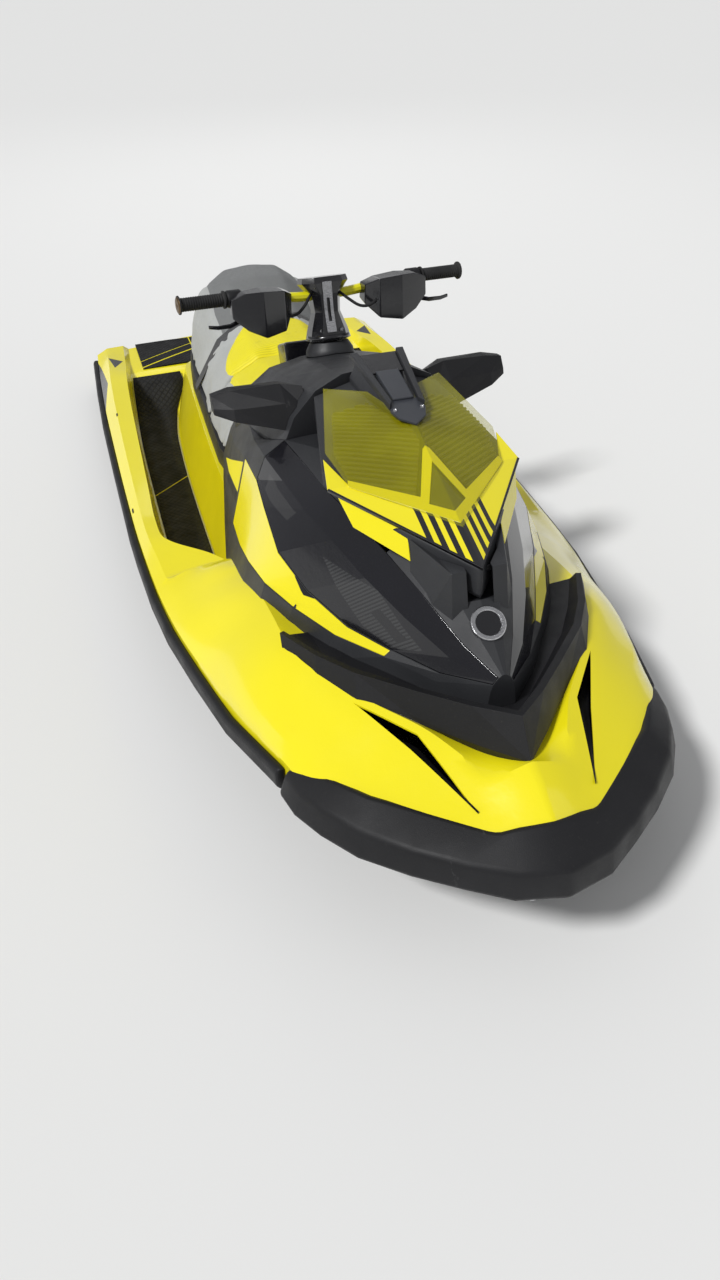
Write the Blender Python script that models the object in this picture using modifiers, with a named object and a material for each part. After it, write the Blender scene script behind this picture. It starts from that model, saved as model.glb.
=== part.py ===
"""Personal watercraft: hull, deck, opening hood, lifting seat, handlebar steering and jet drive.

Metres, +Z up, +Y aft, +X to port. The origin is on the centreline at the waterline. The tables hold
places as shares of three spacings: buttocks across, stations along and levels above the keel.
"""
import math

import bmesh
import bpy
from mathutils import Quaternion, Vector

# Driving sizes
LENGTH = 3.28           # bow bumper to the raised reverse gate
BEAM = 1.24             # over the rub rails
HEIGHT = 1.12           # keel to the top of the hand guards
DRAFT = 0.26            # keel below the waterline
BUTTOCK = BEAM / 12.4
STATION = LENGTH / 32.8
LEVEL = HEIGHT / 11.2

# Gaps
CLEAR = 0.0003          # between two pieces that touch
SEAM = 0.003            # open seam between two body panels
RUNNING_GAP = 0.0004    # round a pin or a shaft
MOVING_GAP = 0.006      # between the closed hood and the body under it
OVERRUN = 0.05          # how far a cutter runs past what it cuts
MERGE = 0.0001          # welds mirrored and turned halves

# Edges of hull and deck
RAIL_DEPTH = 0.022
RAIL_HALF_HEIGHT = 0.030
RAIL_SHARES = ((0, -1), (0, 1), (0.7, 1), (1, 0.6), (1, -0.6), (0.6, -1))
RAIL_START_SHARE = -11.85
RAIL_END_SHARE = 14.30
BOW_SHARE = -15.90
TRANSOM_SHARE = 14.20
DECK_END_SHARE = 15.60
SHEER_SHARE = 0.45      # deck's shoulder above its joint with the hull
WALL_TOP_SHARE = 0.94   # top of the hull's inner wall, of the half breadth

# Engine bay and engine
BAY_WIDTH = 0.42
BAY_START = 0.05
BAY_END = 0.90
BAY_FLOOR = 0.115
ENGINE_WIDTH = 0.34
ENGINE_LENGTH = 0.62
ENGINE_HEIGHT = 0.32
ENGINE_START = 0.09

# Storage bin under the hood
BIN_WIDTH = 0.30
BIN_START = -0.98
BIN_END = -0.64
BIN_FLOOR = 0.63

# Pump, all round its axis
PUMP_LEVEL = 0.105
PUMP_BORE = 0.085
PUMP_WALL = 0.007
PUMP_START = 1.10
PUMP_END = 1.455
BARREL_SHARE = 0.62     # straight part of the pump
TUNNEL_WIDTH = 0.23
TUNNEL_ROOF = 0.205
TUNNEL_END = 1.60
DUCT_WIDTH = 0.15
DUCT_START = 0.80
DUCT_END = 1.07
THROAT_WIDTH = 0.14
THROAT_LOW = 0.05
THROAT_HIGH = 0.175
THROAT_OVERLAP = 0.01
SHAFT_RADIUS = 0.0125
SHAFT_REACH = 0.25      # ahead of the impeller, into the bay's wall
SHAFT_TAIL = 0.155
HUB_RADIUS = 0.030
HUB_LENGTH = 0.10
HUB_NOSE_SHARE = 0.6
IMPELLER_START = 0.02
IMPELLER_GAP = 0.005
BLADE_COUNT = 4
BLADE_THICKNESS = 0.004
BLADE_START = 0.02
BLADE_LENGTH = 0.07
BLADE_TURN = math.radians(105)
BLADE_ROOT_SHARE = 0.5
VANE_COUNT = 5
VANE_THICKNESS = 0.004
VANE_INSET = 0.01
STATOR_START = 0.13
STATOR_LENGTH = 0.05
STATOR_TAIL = 0.12
STATOR_TIP = 0.006
OVERLAP = 0.003         # how far one part of a solid runs into the next

# Steering nozzle, on an upright pivot behind the pump
NOZZLE_PIVOT = 1.505
NOZZLE_LENGTH = 0.130
NOZZLE_LEAD = 0.020
NOZZLE_MOUTH = 0.070
NOZZLE_RIM = 0.04
NOZZLE_INLET = 0.058
NOZZLE_OUTLET = 0.044
NOZZLE_WALL = 0.006
PIN_RADIUS = 0.0055
PIN_HEAD = 0.092        # from the axis to the pin's end
EAR_WIDTH = 0.024
EAR_LOW = 0.080
EAR_HIGH = 0.088
EAR_REACH = 0.012
EAR_START = 0.070
EAR_ROOT_START = 0.110
EAR_ROOT_END = 0.055

# Reverse gate, on a level pivot through the same place
GATE_RADIUS = 0.138
GATE_WALL = 0.007
GATE_HALF_WIDTH = 0.122
GATE_START = math.radians(25)
GATE_SPAN = math.radians(80)
GATE_STEPS = 10
ARM_BOSS = 0.018
ARM_STEPS = 5
LUG_INNER = 0.055
LUG_FACE = 0.099
LUG_OUTER = 0.110
LUG_HALF_HEIGHT = 0.014
LUG_START = 0.120
LUG_BEND = 0.045
LUG_REACH = 0.014
GATE_PIN_RADIUS = 0.007
GATE_PIN_END = 0.128

# Underside
RIDE_START = 1.102
RIDE_END = 1.50
GRATE_START = 0.77
GRATE_WIDTH = 0.17
GRATE_DEPTH = 0.006
GRATE_HEIGHT = 0.012
GRATE_SLOTS = 5
SLOT_PITCH = 0.030
SLOT_WIDTH = 0.020
SLOT_END = 1.05
SPONSON_SHARES = ((7.6, 0.3), (8.4, 1), (12.6, 1), (13.6, 0.7))
SPONSON_PLACE_SHARES = (5.12, 1.75)
SPONSON_SECTION_SHARES = ((-0.20, 0.0), (0.30, -0.35), (0.75, -0.30), (0.80, 0.0), (0.55, 0.65),
                          (-0.10, 0.70))
EYE_RADIUS = 0.006
EYE_SHARES = ((0, -14.20, 3.60), (0, -15.00, 3.35), (0, -15.25, 3.85), (0, -14.70, 4.30))

# Hood hinge
HINGE_SHARES = (0, -11.30, 8.95)
HINGE_PIN_RADIUS = 0.006
HINGE_PIN_REACH = 0.052
KNUCKLE_HALF_WIDTH = 0.030
KNUCKLE_RADIUS = 0.012
KNUCKLE_HEIGHT = 0.020
HINGE_EAR_START = 0.042
HINGE_EAR_END = 0.050
HINGE_EAR_DEPTH = 0.060
HINGE_EAR_HALF = 0.010
HINGE_ROOM = 0.060      # round the hinge's axis, where the hood's nose turns down
HINGE_ROOM_HALF = 0.041

# Steering
COLUMN_FOOT_SHARES = (0, -0.95, 9.30)
COLUMN_HEAD_SHARES = (0, -0.39, 11.16)
STEER_AT_REST = math.radians(8)
NOZZLE_AT_REST = math.radians(-6.8)
STEM_RADIUS = 0.024
STEM_START = 0.008
STEM_END = 0.050
BOOT_SHARES = ((0.52, 0.30), (0.64, 0.10), (0.70, -0.30))
BAR_RADIUS = 0.0125
BAR_HALF_LENGTH = 0.398
GRIP_RADIUS = 0.0165
GRIP_COLLAR = 0.0200
GRIP_FLANGE = 0.0210
GRIP_LENGTH = 0.125
GRIP_END = 0.405
GRIP_CAP = 0.006
GRIP_EDGE = 0.003
LEVER_RADIUS = 0.0055
LEVER_ROOM = 0.0065

# Body trim
PANEL_THICKNESS = 0.006
BADGE_RADIUS = 0.036
BADGE_EDGE = 0.003
BADGE_HEIGHT = 0.006
BADGE_DEPTH = 0.020
BADGE_SHARES = (0, -12.05, 8.17)
BADGE_FACING = (0, -0.54, 0.84)
GAUGE_WIDTH = 0.176
GAUGE_DEPTH = 0.104
GAUGE_HEIGHT = 0.072
GAUGE_TILT = math.radians(-24)
GAUGE_SHARES = (-0.05, 0.90, 8.54)
MIRROR_GLASS = 0.006
MAT_THICKNESS = 0.006
MAT_MARGIN = 0.008
MAT_START_SHARE = -2.6
MAT_END_SHARE = 10.5
REAR_MAT_SHARES = (12.2, 14.0, 14.9)
REAR_MAT_EDGE_SHARE = 4.15
STRAP_THICKNESS = 0.003
STRAP_SHARES = (6.6, 7.0)
SEAT_FLOOR_SHARE = 5.34
SEAT_SPLIT_SHARE = 4.3
SEAT_HINGE_SHARES = (0, 1.30, 7.90)
SEAT_BASE_FOOT_SHARE = 4.72
SEAT_BASE_WIDTH_SHARES = (2.86, 2.95)
SEAT_BASE_SHARES = ((1.40, 0.97), (2.2, 1.0), (8.0, 0.94), (10.0, 0.86), (11.1, 0.70))
HOOD_PANEL_THICKNESS = 0.005
VISOR_THICKNESS = 0.004
HOOD_DROP_SHARE = 0.12
HOOD_SKIRT_SHARE = 0.35

COLOURS = {
    "acid yellow": (0.80, 0.78, 0.02, 1),
    "black plastic": (0.02, 0.02, 0.022, 1),
    "gloss black": (0.008, 0.008, 0.010, 1),
    "hull black": (0.015, 0.015, 0.017, 1),
    "dark grey": (0.045, 0.047, 0.052, 1),
    "seat grey": (0.30, 0.31, 0.31, 1),
    "visor": (0.45, 0.46, 0.02, 1),
    "metal": (0.55, 0.55, 0.56, 1),
    "rubber": (0.012, 0.012, 0.012, 1),
    "mirror": (0.8, 0.8, 0.8, 1),
    "engine": (0.20, 0.20, 0.21, 1),
}
GLOSSY = ("acid yellow", "gloss black", "hull black", "visor")
METALLIC = ("metal", "mirror")

craft = None
parts = None
cutters = None
materials = {}

# Edge of deck and hull: station, half breadth, level of their joint
EDGE_SHARES = (
    (-15.90, 0.70, 5.20), (-15.24, 1.80, 5.20), (-14.40, 3.05, 5.10), (-13.00, 3.85, 5.05),
    (-11.70, 4.22, 4.95), (-9.60, 4.85, 4.60), (-7.50, 5.25, 4.35), (-5.50, 5.60, 4.20),
    (-3.70, 5.78, 4.07), (-1.50, 5.90, 3.97), (0.0, 5.95, 3.92), (4.0, 5.98, 3.80),
    (8.0, 5.97, 3.65), (11.0, 5.90, 3.55), (14.0, 5.78, 3.45), (15.6, 5.70, 3.40),
)

# Hull: station, its inner floor as level and half breadth, keel level, then strake, chine and flare
# as buttock, level
HULL_SHARES = (
    (-15.90, 5.05, 0.52, 4.75, 0.15, 4.80, 0.30, 4.88, 0.52, 5.02),
    (-15.24, 5.00, 1.20, 4.10, 0.30, 4.25, 0.70, 4.50, 1.30, 4.85),
    (-14.40, 4.90, 2.20, 3.40, 0.50, 3.60, 1.30, 4.00, 2.40, 4.62),
    (-13.00, 4.75, 3.10, 2.45, 0.80, 2.80, 2.10, 3.45, 3.30, 4.35),
    (-11.70, 4.20, 3.40, 1.75, 1.10, 2.20, 2.75, 3.05, 3.75, 4.10),
    (-9.60, 3.40, 3.85, 0.95, 1.50, 1.60, 3.60, 2.55, 4.40, 3.70),
    (-7.50, 2.75, 4.20, 0.45, 1.80, 1.15, 4.20, 2.20, 4.85, 3.40),
    (-5.50, 2.35, 4.55, 0.15, 2.00, 0.92, 4.60, 1.95, 5.20, 3.20),
    (0.0, 2.20, 5.05, 0.00, 2.20, 0.82, 5.00, 1.70, 5.60, 2.95),
    (8.0, 2.20, 5.05, 0.00, 2.30, 0.85, 5.10, 1.65, 5.65, 2.70),
    (13.50, 2.20, 4.95, 0.00, 2.30, 0.85, 5.10, 1.65, 5.60, 2.60),
    (13.85, 3.38, 4.95, 0.00, 2.30, 0.85, 5.10, 1.65, 5.60, 2.60),
    (14.20, 3.38, 4.95, 0.00, 2.30, 0.85, 5.10, 1.65, 5.60, 2.60),
)

# Deck: station, centre level, then five style lines as buttock, level: pedestal edge, foot of the
# pedestal, outer edge of the footwell's floor, inner edge of the gunwale, crown of the gunwale
DECK_SHARES = (
    (-15.90, 5.95, 0.15, 5.92, 0.28, 5.88, 0.40, 5.84, 0.50, 5.78, 0.60, 5.70),
    (-15.24, 6.28, 0.35, 6.18, 0.65, 6.08, 0.90, 5.99, 1.05, 5.93, 1.50, 5.78),
    (-14.40, 6.66, 0.50, 6.52, 1.00, 6.28, 1.50, 6.08, 2.20, 5.86, 2.70, 5.72),
    (-13.70, 6.30, 0.60, 6.30, 1.10, 6.48, 1.85, 6.20, 2.70, 5.90, 3.15, 5.74),
    (-13.00, 6.20, 0.90, 6.25, 1.45, 6.55, 2.20, 6.30, 3.00, 5.97, 3.45, 5.76),
    (-11.70, 6.20, 1.80, 6.25, 2.45, 6.60, 2.90, 6.42, 3.50, 6.06, 3.95, 5.80),
    (-9.60, 6.20, 2.60, 6.25, 3.50, 6.60, 3.95, 6.32, 4.35, 5.92, 4.65, 5.55),
    (-7.50, 6.10, 2.60, 6.15, 3.55, 6.32, 4.10, 6.05, 4.60, 5.62, 5.00, 5.20),
    (-5.50, 5.60, 2.60, 5.60, 3.70, 5.80, 4.30, 5.60, 4.90, 5.22, 5.35, 4.95),
    (-3.75, 5.20, 2.80, 5.20, 3.70, 5.15, 4.30, 5.10, 4.95, 4.98, 5.45, 4.80),
    (-3.60, 5.20, 2.80, 5.10, 3.60, 3.10, 3.72, 3.10, 3.85, 5.02, 5.48, 4.78),
    (-2.50, 5.10, 2.80, 5.00, 3.64, 2.90, 4.50, 2.90, 4.70, 4.92, 5.56, 4.76),
    (-1.50, 5.00, 2.90, 4.95, 3.66, 2.76, 4.95, 2.76, 5.32, 4.78, 5.66, 4.72),
    (0.0, 4.70, 3.05, 4.90, 3.66, 2.70, 5.02, 2.70, 5.34, 4.66, 5.70, 4.66),
    (1.0, 4.60, 3.05, 4.85, 3.66, 2.70, 5.02, 2.70, 5.30, 4.66, 5.70, 4.66),
    (4.0, 4.60, 3.00, 4.80, 3.64, 2.70, 5.00, 2.70, 5.20, 4.62, 5.68, 4.62),
    (8.0, 4.60, 2.85, 4.80, 3.50, 2.76, 4.94, 2.76, 5.06, 4.54, 5.62, 4.54),
    (10.0, 4.60, 2.75, 4.75, 3.20, 3.05, 4.84, 3.05, 4.96, 4.48, 5.56, 4.48),
    (11.2, 4.55, 2.30, 4.50, 2.70, 3.75, 4.74, 3.75, 4.88, 4.40, 5.50, 4.42),
    (11.9, 4.02, 1.50, 4.02, 2.80, 4.00, 4.66, 3.94, 4.82, 4.28, 5.46, 4.36),
    (14.0, 3.96, 1.50, 3.96, 2.80, 3.94, 4.50, 3.90, 4.70, 4.10, 5.36, 4.12),
    (15.6, 3.90, 1.50, 3.90, 2.80, 3.90, 4.40, 3.88, 4.60, 4.02, 5.26, 4.02),
)
STERN_CORNER_SHARES = (5.96, 14.40, 0)
STERN_CENTRE_SHARES = (0, 15.50, 0)

# Cowl: station, centre level, then as buttock, level: spine edge, top edge, ridge and lower edge of
# the gloss side panel, lower edge of the cheek, foot on the deck
COWL_SHARES = (
    (-12.95, 7.60, 0.05, 7.59, 0.10, 7.55, 0.16, 7.48, 0.22, 7.38, 0.26, 7.20, 0.32, 6.60),
    (-12.10, 8.14, 0.28, 8.08, 0.52, 7.85, 0.78, 7.55, 0.98, 7.18, 1.05, 7.00, 1.12, 6.40),
    (-11.00, 8.85, 0.55, 8.75, 0.95, 8.35, 1.32, 7.85, 1.62, 7.08, 1.78, 6.95, 1.92, 6.30),
    (-9.80, 9.00, 0.90, 8.95, 1.32, 8.68, 1.78, 8.12, 2.20, 6.95, 2.52, 6.80, 2.80, 6.20),
    (-8.50, 9.10, 1.25, 9.10, 1.65, 8.88, 2.15, 8.36, 2.75, 7.12, 3.10, 6.74, 3.34, 6.10),
    (-7.30, 9.15, 1.50, 9.15, 1.95, 8.95, 2.45, 8.48, 3.10, 7.46, 3.48, 6.66, 3.68, 6.00),
    (-6.00, 9.15, 1.60, 9.15, 2.10, 8.96, 2.60, 8.52, 3.10, 7.90, 3.60, 6.44, 3.84, 5.70),
    (-4.85, 9.00, 1.60, 9.00, 2.25, 8.95, 2.77, 8.60, 3.02, 8.00, 3.60, 6.20, 3.88, 5.30),
    (-3.50, 8.40, 1.60, 8.40, 2.25, 8.40, 2.75, 8.36, 3.02, 7.90, 3.52, 6.04, 3.80, 5.00),
    (-1.50, 8.20, 1.60, 8.20, 2.10, 8.20, 2.55, 8.10, 2.96, 7.30, 3.30, 6.00, 3.46, 4.90),
    (0.50, 7.80, 1.30, 7.80, 1.70, 7.80, 2.20, 7.60, 2.70, 6.70, 3.00, 5.80, 3.10, 4.80),
    (1.10, 7.60, 1.20, 7.60, 1.60, 7.60, 2.10, 7.30, 2.60, 6.50, 2.90, 5.70, 3.00, 4.80),
)
COWL_FLOOR_SHARE = 5.0

# Nose tray: the foot of its wall, the rim's outer and inner edge, the inner wall's foot and the
# inner edge of its floor
TRAY_SHARES = (
    ((0, -14.38, 6.60), (0, -13.84, 7.32), (0, -13.66, 7.30), (0, -13.50, 6.85), (0, -12.60, 6.70)),
    ((0.75, -13.60, 6.55), (0.75, -13.20, 7.22), (0.68, -13.05, 7.20), (0.60, -12.90, 6.80),
     (0.60, -12.20, 6.65)),
    ((1.55, -12.70, 6.50), (1.52, -12.42, 7.12), (1.42, -12.28, 7.08), (1.30, -12.15, 6.72),
     (1.05, -11.60, 6.60)),
    ((2.58, -11.70, 6.50), (2.52, -11.38, 7.02), (2.40, -11.26, 6.98), (2.25, -11.10, 6.66),
     (1.70, -10.60, 6.55)),
    ((3.15, -10.72, 6.48), (3.10, -10.48, 6.92), (2.98, -10.38, 6.88), (2.85, -10.22, 6.62),
     (2.20, -9.80, 6.50)),
    ((3.62, -9.62, 6.44), (3.60, -9.34, 6.78), (3.50, -9.28, 6.76), (3.40, -9.22, 6.58),
     (2.90, -9.10, 6.44)),
)
TRAY_UNDER_SHARE = 6.0
TRAY_UNDER_SCALE = (0.97, 0.985)

# Bow bumper: inner edge on the deck, crease, lower edge, and where it runs under the hull's skin
BUMPER_SHARES = (
    ((0, -15.51, 6.24), (0, -16.32, 5.76), (0, -16.43, 5.10), (0, -15.14, 4.70), (0, -15.04, 5.64)),
    ((0.60, -15.36, 6.12), (0.95, -16.05, 5.72), (1.00, -16.18, 5.08), (0.60, -14.91, 4.68),
     (0.54, -14.90, 5.52)),
    ((1.02, -15.24, 5.98), (1.68, -15.60, 5.69), (1.75, -15.68, 5.06), (1.05, -14.44, 4.66),
     (0.92, -14.78, 5.38)),
    ((2.00, -14.42, 5.95), (2.52, -14.95, 5.66), (2.62, -15.05, 5.04), (1.57, -13.85, 4.64),
     (1.80, -13.99, 5.35)),
    ((2.97, -13.65, 5.96), (3.28, -14.20, 5.62), (3.42, -14.32, 5.00), (2.05, -13.16, 4.60),
     (2.67, -13.24, 5.36)),
    ((3.45, -12.95, 5.82), (3.78, -13.45, 5.55), (3.94, -13.55, 4.95), (2.36, -12.44, 4.55),
     (3.11, -12.56, 5.22)),
    ((3.85, -12.40, 5.62), (4.10, -12.75, 5.42), (4.28, -12.80, 4.85), (2.57, -11.73, 4.45),
     (3.47, -12.03, 5.02)),
    ((4.08, -12.00, 5.44), (4.26, -12.05, 5.34), (4.42, -12.02, 4.75), (2.65, -11.00, 4.35),
     (3.67, -11.64, 4.84)),
)

# Gill slots, in plan and down through the deck: front tip, outer side, rear tip, inner kink
GILL_SHARES = ((1.20, -14.80), (1.95, -13.10), (2.66, -11.68), (1.72, -12.90))
GILL_TOP_SHARE = 7.5
GILL_FLOOR_SHARE = 5.75

# Console: station, then as buttock, level: crown, shoulder edge, shoulder, side, foot
CONSOLE_SHARES = (
    (-4.90, 10.50, 0.80, 10.42, 1.45, 10.10, 2.00, 9.50, 2.30, 8.80),
    (-3.80, 10.20, 0.80, 10.10, 1.60, 9.75, 2.20, 9.20, 2.50, 8.60),
    (-2.40, 9.75, 0.70, 9.68, 1.60, 9.40, 2.30, 8.90, 2.65, 8.20),
    (-0.40, 9.10, 0.70, 9.05, 1.60, 8.85, 2.20, 8.40, 2.70, 7.60),
    (0.60, 8.50, 0.70, 8.45, 1.45, 8.30, 2.05, 7.90, 2.50, 7.20),
    (1.05, 8.05, 0.70, 8.00, 1.40, 7.85, 1.90, 7.60, 2.30, 7.10),
)
CONSOLE_FOOT_SHARE = 7.0

# Seat: station, crown level, then as buttock, level: crown edge, shoulder, skirt
SEAT_SHARES = (
    (1.30, 7.90, 0.70, 7.86, 1.60, 7.40, 2.90, 5.60),
    (2.20, 7.70, 1.00, 7.62, 2.05, 7.10, 3.00, 5.40),
    (4.30, 7.30, 1.05, 7.20, 1.95, 6.70, 2.92, 5.34),
    (6.80, 7.50, 1.00, 7.40, 1.85, 6.80, 2.80, 5.34),
    (8.80, 8.25, 1.00, 8.15, 1.95, 7.45, 2.72, 5.38),
    (9.90, 8.30, 0.95, 8.20, 1.95, 7.50, 2.60, 5.42),
    (10.80, 7.80, 0.85, 7.70, 1.75, 7.05, 2.40, 5.44),
    (11.30, 6.90, 0.80, 6.84, 1.50, 6.40, 2.10, 5.50),
)

# Hood base: station, centre level, then the side line's buttock, station and level
HOOD_SHARES = (
    ((0, -11.56, 9.09), (0.12, -11.50, 9.06)),
    ((0, -10.57, 9.42), (1.05, -10.30, 9.22)),
    ((0, -7.79, 10.16), (2.05, -7.60, 9.66)),
    ((0, -5.00, 10.55), (1.52, -5.00, 10.12)),
)
HOOD_PANEL_SHARES = (
    ((0, -11.60, 9.14), (1.05, -10.38, 9.28), (2.02, -7.80, 9.68)),
    ((0, -10.40, 9.53), (1.15, -8.60, 9.72), (1.98, -7.38, 9.86)),
)
VISOR_SHARES = ((0, -10.57, 9.45), (1.95, -7.45, 9.84), (1.41, -5.42, 10.35), (0.55, -6.05, 10.43),
                (0, -7.79, 10.35))
LATCH_SHARES = ((-7.40, 10.30, 0.05), (-6.15, 10.52, 0.40), (-5.60, 10.62, 0.58), (-5.02, 10.68, 0.66))
LATCH_FOOT_SHARE = 9.9
LATCH_EDGE_SHARES = (0.8, -0.02, -0.30)

# Steering column, along its axis from the foot: height, half width, then fore and aft faces
COLUMN_SHARES = (
    (0.35, 0.58, -0.48, 0.45), (0.60, 0.52, -0.45, 0.40), (1.05, 0.36, -0.34, 0.34),
    (1.50, 0.40, -0.36, 0.36), (1.80, 0.66, -0.40, 0.44), (1.94, 0.62, -0.36, 0.40),
)
COLUMN_CORNER_SHARES = ((0.6, 1.0), (1.0, 0.4), (1.0, 0.5), (0.6, 1.0))
BAR_SHARES = ((-4.02, -0.63, 10.95), (-2.72, -0.63, 10.95), (-2.40, -0.63, 10.95),
              (-1.50, -0.52, 10.82), (-0.70, -0.48, 10.72), (0, -0.48, 10.72))
GUARD_SHARES = (
    (1.05, ((-0.85, 10.62), (-0.50, 10.66), (-0.50, 10.92), (-0.85, 10.92))),
    (1.35, ((-1.22, 10.46), (-0.66, 10.52), (-0.66, 11.08), (-1.12, 11.12))),
    (1.90, ((-1.36, 10.42), (-0.74, 10.54), (-0.70, 11.16), (-1.20, 11.20))),
    (2.30, ((-1.26, 10.56), (-0.82, 10.64), (-0.82, 11.16), (-1.14, 11.20))),
    (2.70, ((-1.12, 10.76), (-0.96, 10.80), (-0.96, 11.08), (-1.08, 11.12))),
)
LEVER_SHARES = ((2.67, -0.63, 10.85), (2.68, -0.85, 10.45), (2.85, -1.18, 10.28), (3.45, -1.22, 10.30))

# Mirrors: buttock of each section, then its corners as station, level
MIRROR_SHARES = (
    (1.60, ((-5.00, 8.95), (-4.75, 9.55), (-4.20, 9.95), (-3.60, 9.60), (-3.80, 9.00))),
    (2.10, ((-4.75, 9.10), (-4.55, 9.72), (-3.98, 9.98), (-3.55, 9.86), (-3.75, 9.18))),
    (3.30, ((-4.38, 9.34), (-4.25, 9.60), (-3.84, 9.90), (-3.50, 9.86), (-3.62, 9.30))),
    (3.75, ((-4.05, 9.44), (-4.00, 9.58), (-3.80, 9.82), (-3.56, 9.78), (-3.64, 9.40))),
)
MIRROR_GLASS_SHARES = (
    ((2.30, -3.535, 9.80), (3.30, -3.495, 9.80), (3.60, -3.53, 9.72)),
    ((2.30, -3.70, 9.28), (3.30, -3.60, 9.38), (3.60, -3.60, 9.48)),
)

# Ride plate: its section from the centre, as buttock, level
RIDE_SHARES = ((0, 0.0), (1.00, 0.0), (1.58, 0.42), (1.58, 0.75), (1.12, 0.60), (0.98, 0.09), (0, 0.09))


def g(x, y, h):
    """A place on the lines plan: buttock, station and level above the keel."""
    return Vector((x * BUTTOCK, y * STATION, h * LEVEL))


def sided(place, sign):
    """A place given for port, on the side asked for."""
    return Vector((sign * place.x, place.y, place.z))


def clean_scene():
    for item in list(bpy.data.objects):
        bpy.data.objects.remove(item, do_unlink=True)
    for mesh in list(bpy.data.meshes):
        bpy.data.meshes.remove(mesh)


def make_materials():
    for name, colour in COLOURS.items():
        material = bpy.data.materials.new(name)
        material.use_nodes = True
        shader = material.node_tree.nodes["Principled BSDF"]
        shader.inputs["Base Color"].default_value = colour
        shader.inputs["Roughness"].default_value = 0.2 if name in GLOSSY else 0.5
        shader.inputs["Metallic"].default_value = 1.0 if name in METALLIC else 0.0
        materials[name] = material


def empty(name, place, parent=None, axis=None, turn=0):
    """A joint's empty on its axis, turned to where the moving piece stands at rest."""
    item = bpy.data.objects.new(name, None)
    parts.objects.link(item)
    item.parent = parent
    item.location = place
    if axis:
        item.rotation_mode = "QUATERNION"
        item.rotation_quaternion = Quaternion(axis, turn)
    return item


def add(name, mesh, colour=None, pivot=None):
    """An object from a mesh made in the craft's frame, hung on the craft or on a joint's empty."""
    item = bpy.data.objects.new(name, mesh)
    if colour is None:
        cutters.objects.link(item)
        item.hide_render = True
        item.display_type = "WIRE"
    else:
        parts.objects.link(item)
        mesh.materials.append(materials[colour])
    item.parent = pivot if pivot else craft
    if pivot:
        item.location = -pivot.location
    return item


def mesh_of(bm, name):
    """A mesh in triangles, so that a twisted face and its room are split along the same line."""
    bmesh.ops.triangulate(bm, faces=bm.faces[:], quad_method="FIXED")
    mesh = bpy.data.meshes.new(name)
    bm.to_mesh(mesh)
    bm.free()
    return mesh


def modifier(item, kind, **settings):
    mod = item.modifiers.new(kind.title(), kind)
    for key, value in settings.items():
        setattr(mod, key, value)
    return mod


def mirrored(item):
    modifier(item, "MIRROR", merge_threshold=MERGE)
    return item


def cut(item, *tools, solver="EXACT"):
    for tool in tools:
        modifier(item, "BOOLEAN", operation="DIFFERENCE", solver=solver, object=tool)
    return item


def join(item, *tools):
    for tool in tools:
        modifier(item, "BOOLEAN", operation="UNION", solver="EXACT", object=tool)
    return item


def evaluated_bmesh(item):
    """The object's shape with its modifiers, in the craft's frame."""
    bpy.context.view_layer.update()
    graph = bpy.context.evaluated_depsgraph_get()
    mesh = bpy.data.meshes.new_from_object(item.evaluated_get(graph))
    bm = bmesh.new()
    bm.from_mesh(mesh)
    bpy.data.meshes.remove(mesh)
    bm.transform(craft.matrix_world.inverted() @ item.matrix_world)
    return bm


def grown(item, distance=CLEAR):
    """A cutter that is the object, thicker by a distance all over."""
    bm = evaluated_bmesh(item)
    bmesh.ops.remove_doubles(bm, verts=bm.verts, dist=CLEAR / 10)
    bm.normal_update()
    sharpest = 4
    moves = [(v, v.normal * distance * min(v.calc_shell_factor(), sharpest)) for v in bm.verts]
    for vert, move in moves:
        vert.co += move
    return add(item.name + "_room", mesh_of(bm, item.name + "_room"))


def skin(rows, closed=False, cap=False):
    """A surface through rows of places; closed joins each row's ends, cap fills the first and last."""
    bm = bmesh.new()
    grid = [[bm.verts.new(place) for place in row] for row in rows]
    wrap = len(rows[0]) if closed else len(rows[0]) - 1
    for low, high in zip(grid, grid[1:]):
        for i in range(wrap):
            j = (i + 1) % len(low)
            bm.faces.new((low[i], low[j], high[j], high[i]))
    if cap:
        bm.faces.new(reversed(grid[0]))
        bm.faces.new(grid[-1])
    bmesh.ops.remove_doubles(bm, verts=bm.verts, dist=CLEAR / 10)
    bmesh.ops.triangulate(bm, faces=bm.faces[:], quad_method="FIXED")
    bmesh.ops.recalc_face_normals(bm, faces=bm.faces)
    return bm


def turn_out(item):
    """Turns a mirrored half so that its faces point away from the solid."""
    bm = evaluated_bmesh(item)
    volume = bm.calc_volume(signed=True)
    bm.free()
    if volume < 0:
        item.data.flip_normals()
    return item


def half_loft(name, sections, colour, pivot=None):
    """A symmetric solid from half sections that are open at the centreline."""
    item = add(name, mesh_of(skin(sections, cap=True), name), colour, pivot)
    return turn_out(mirrored(item))


def half_sweep(name, rows, colour):
    """A symmetric rail: closed sections along a path that starts on the centreline."""
    bm = skin(rows, closed=True)
    last = [v for v in bm.verts if any((v.co - place).length < CLEAR / 10 for place in rows[-1])]
    ends = [e for e in bm.edges if e.is_boundary and all(v in last for v in e.verts)]
    bmesh.ops.contextual_create(bm, geom=ends)
    bmesh.ops.recalc_face_normals(bm, faces=bm.faces)
    return turn_out(mirrored(add(name, mesh_of(bm, name), colour)))


def solid(name, rows, colour, pivot=None):
    """A closed tube of like sections with flat ends."""
    bm = skin(rows, closed=True, cap=True)
    return add(name, mesh_of(bm, name), colour, pivot)


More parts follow.
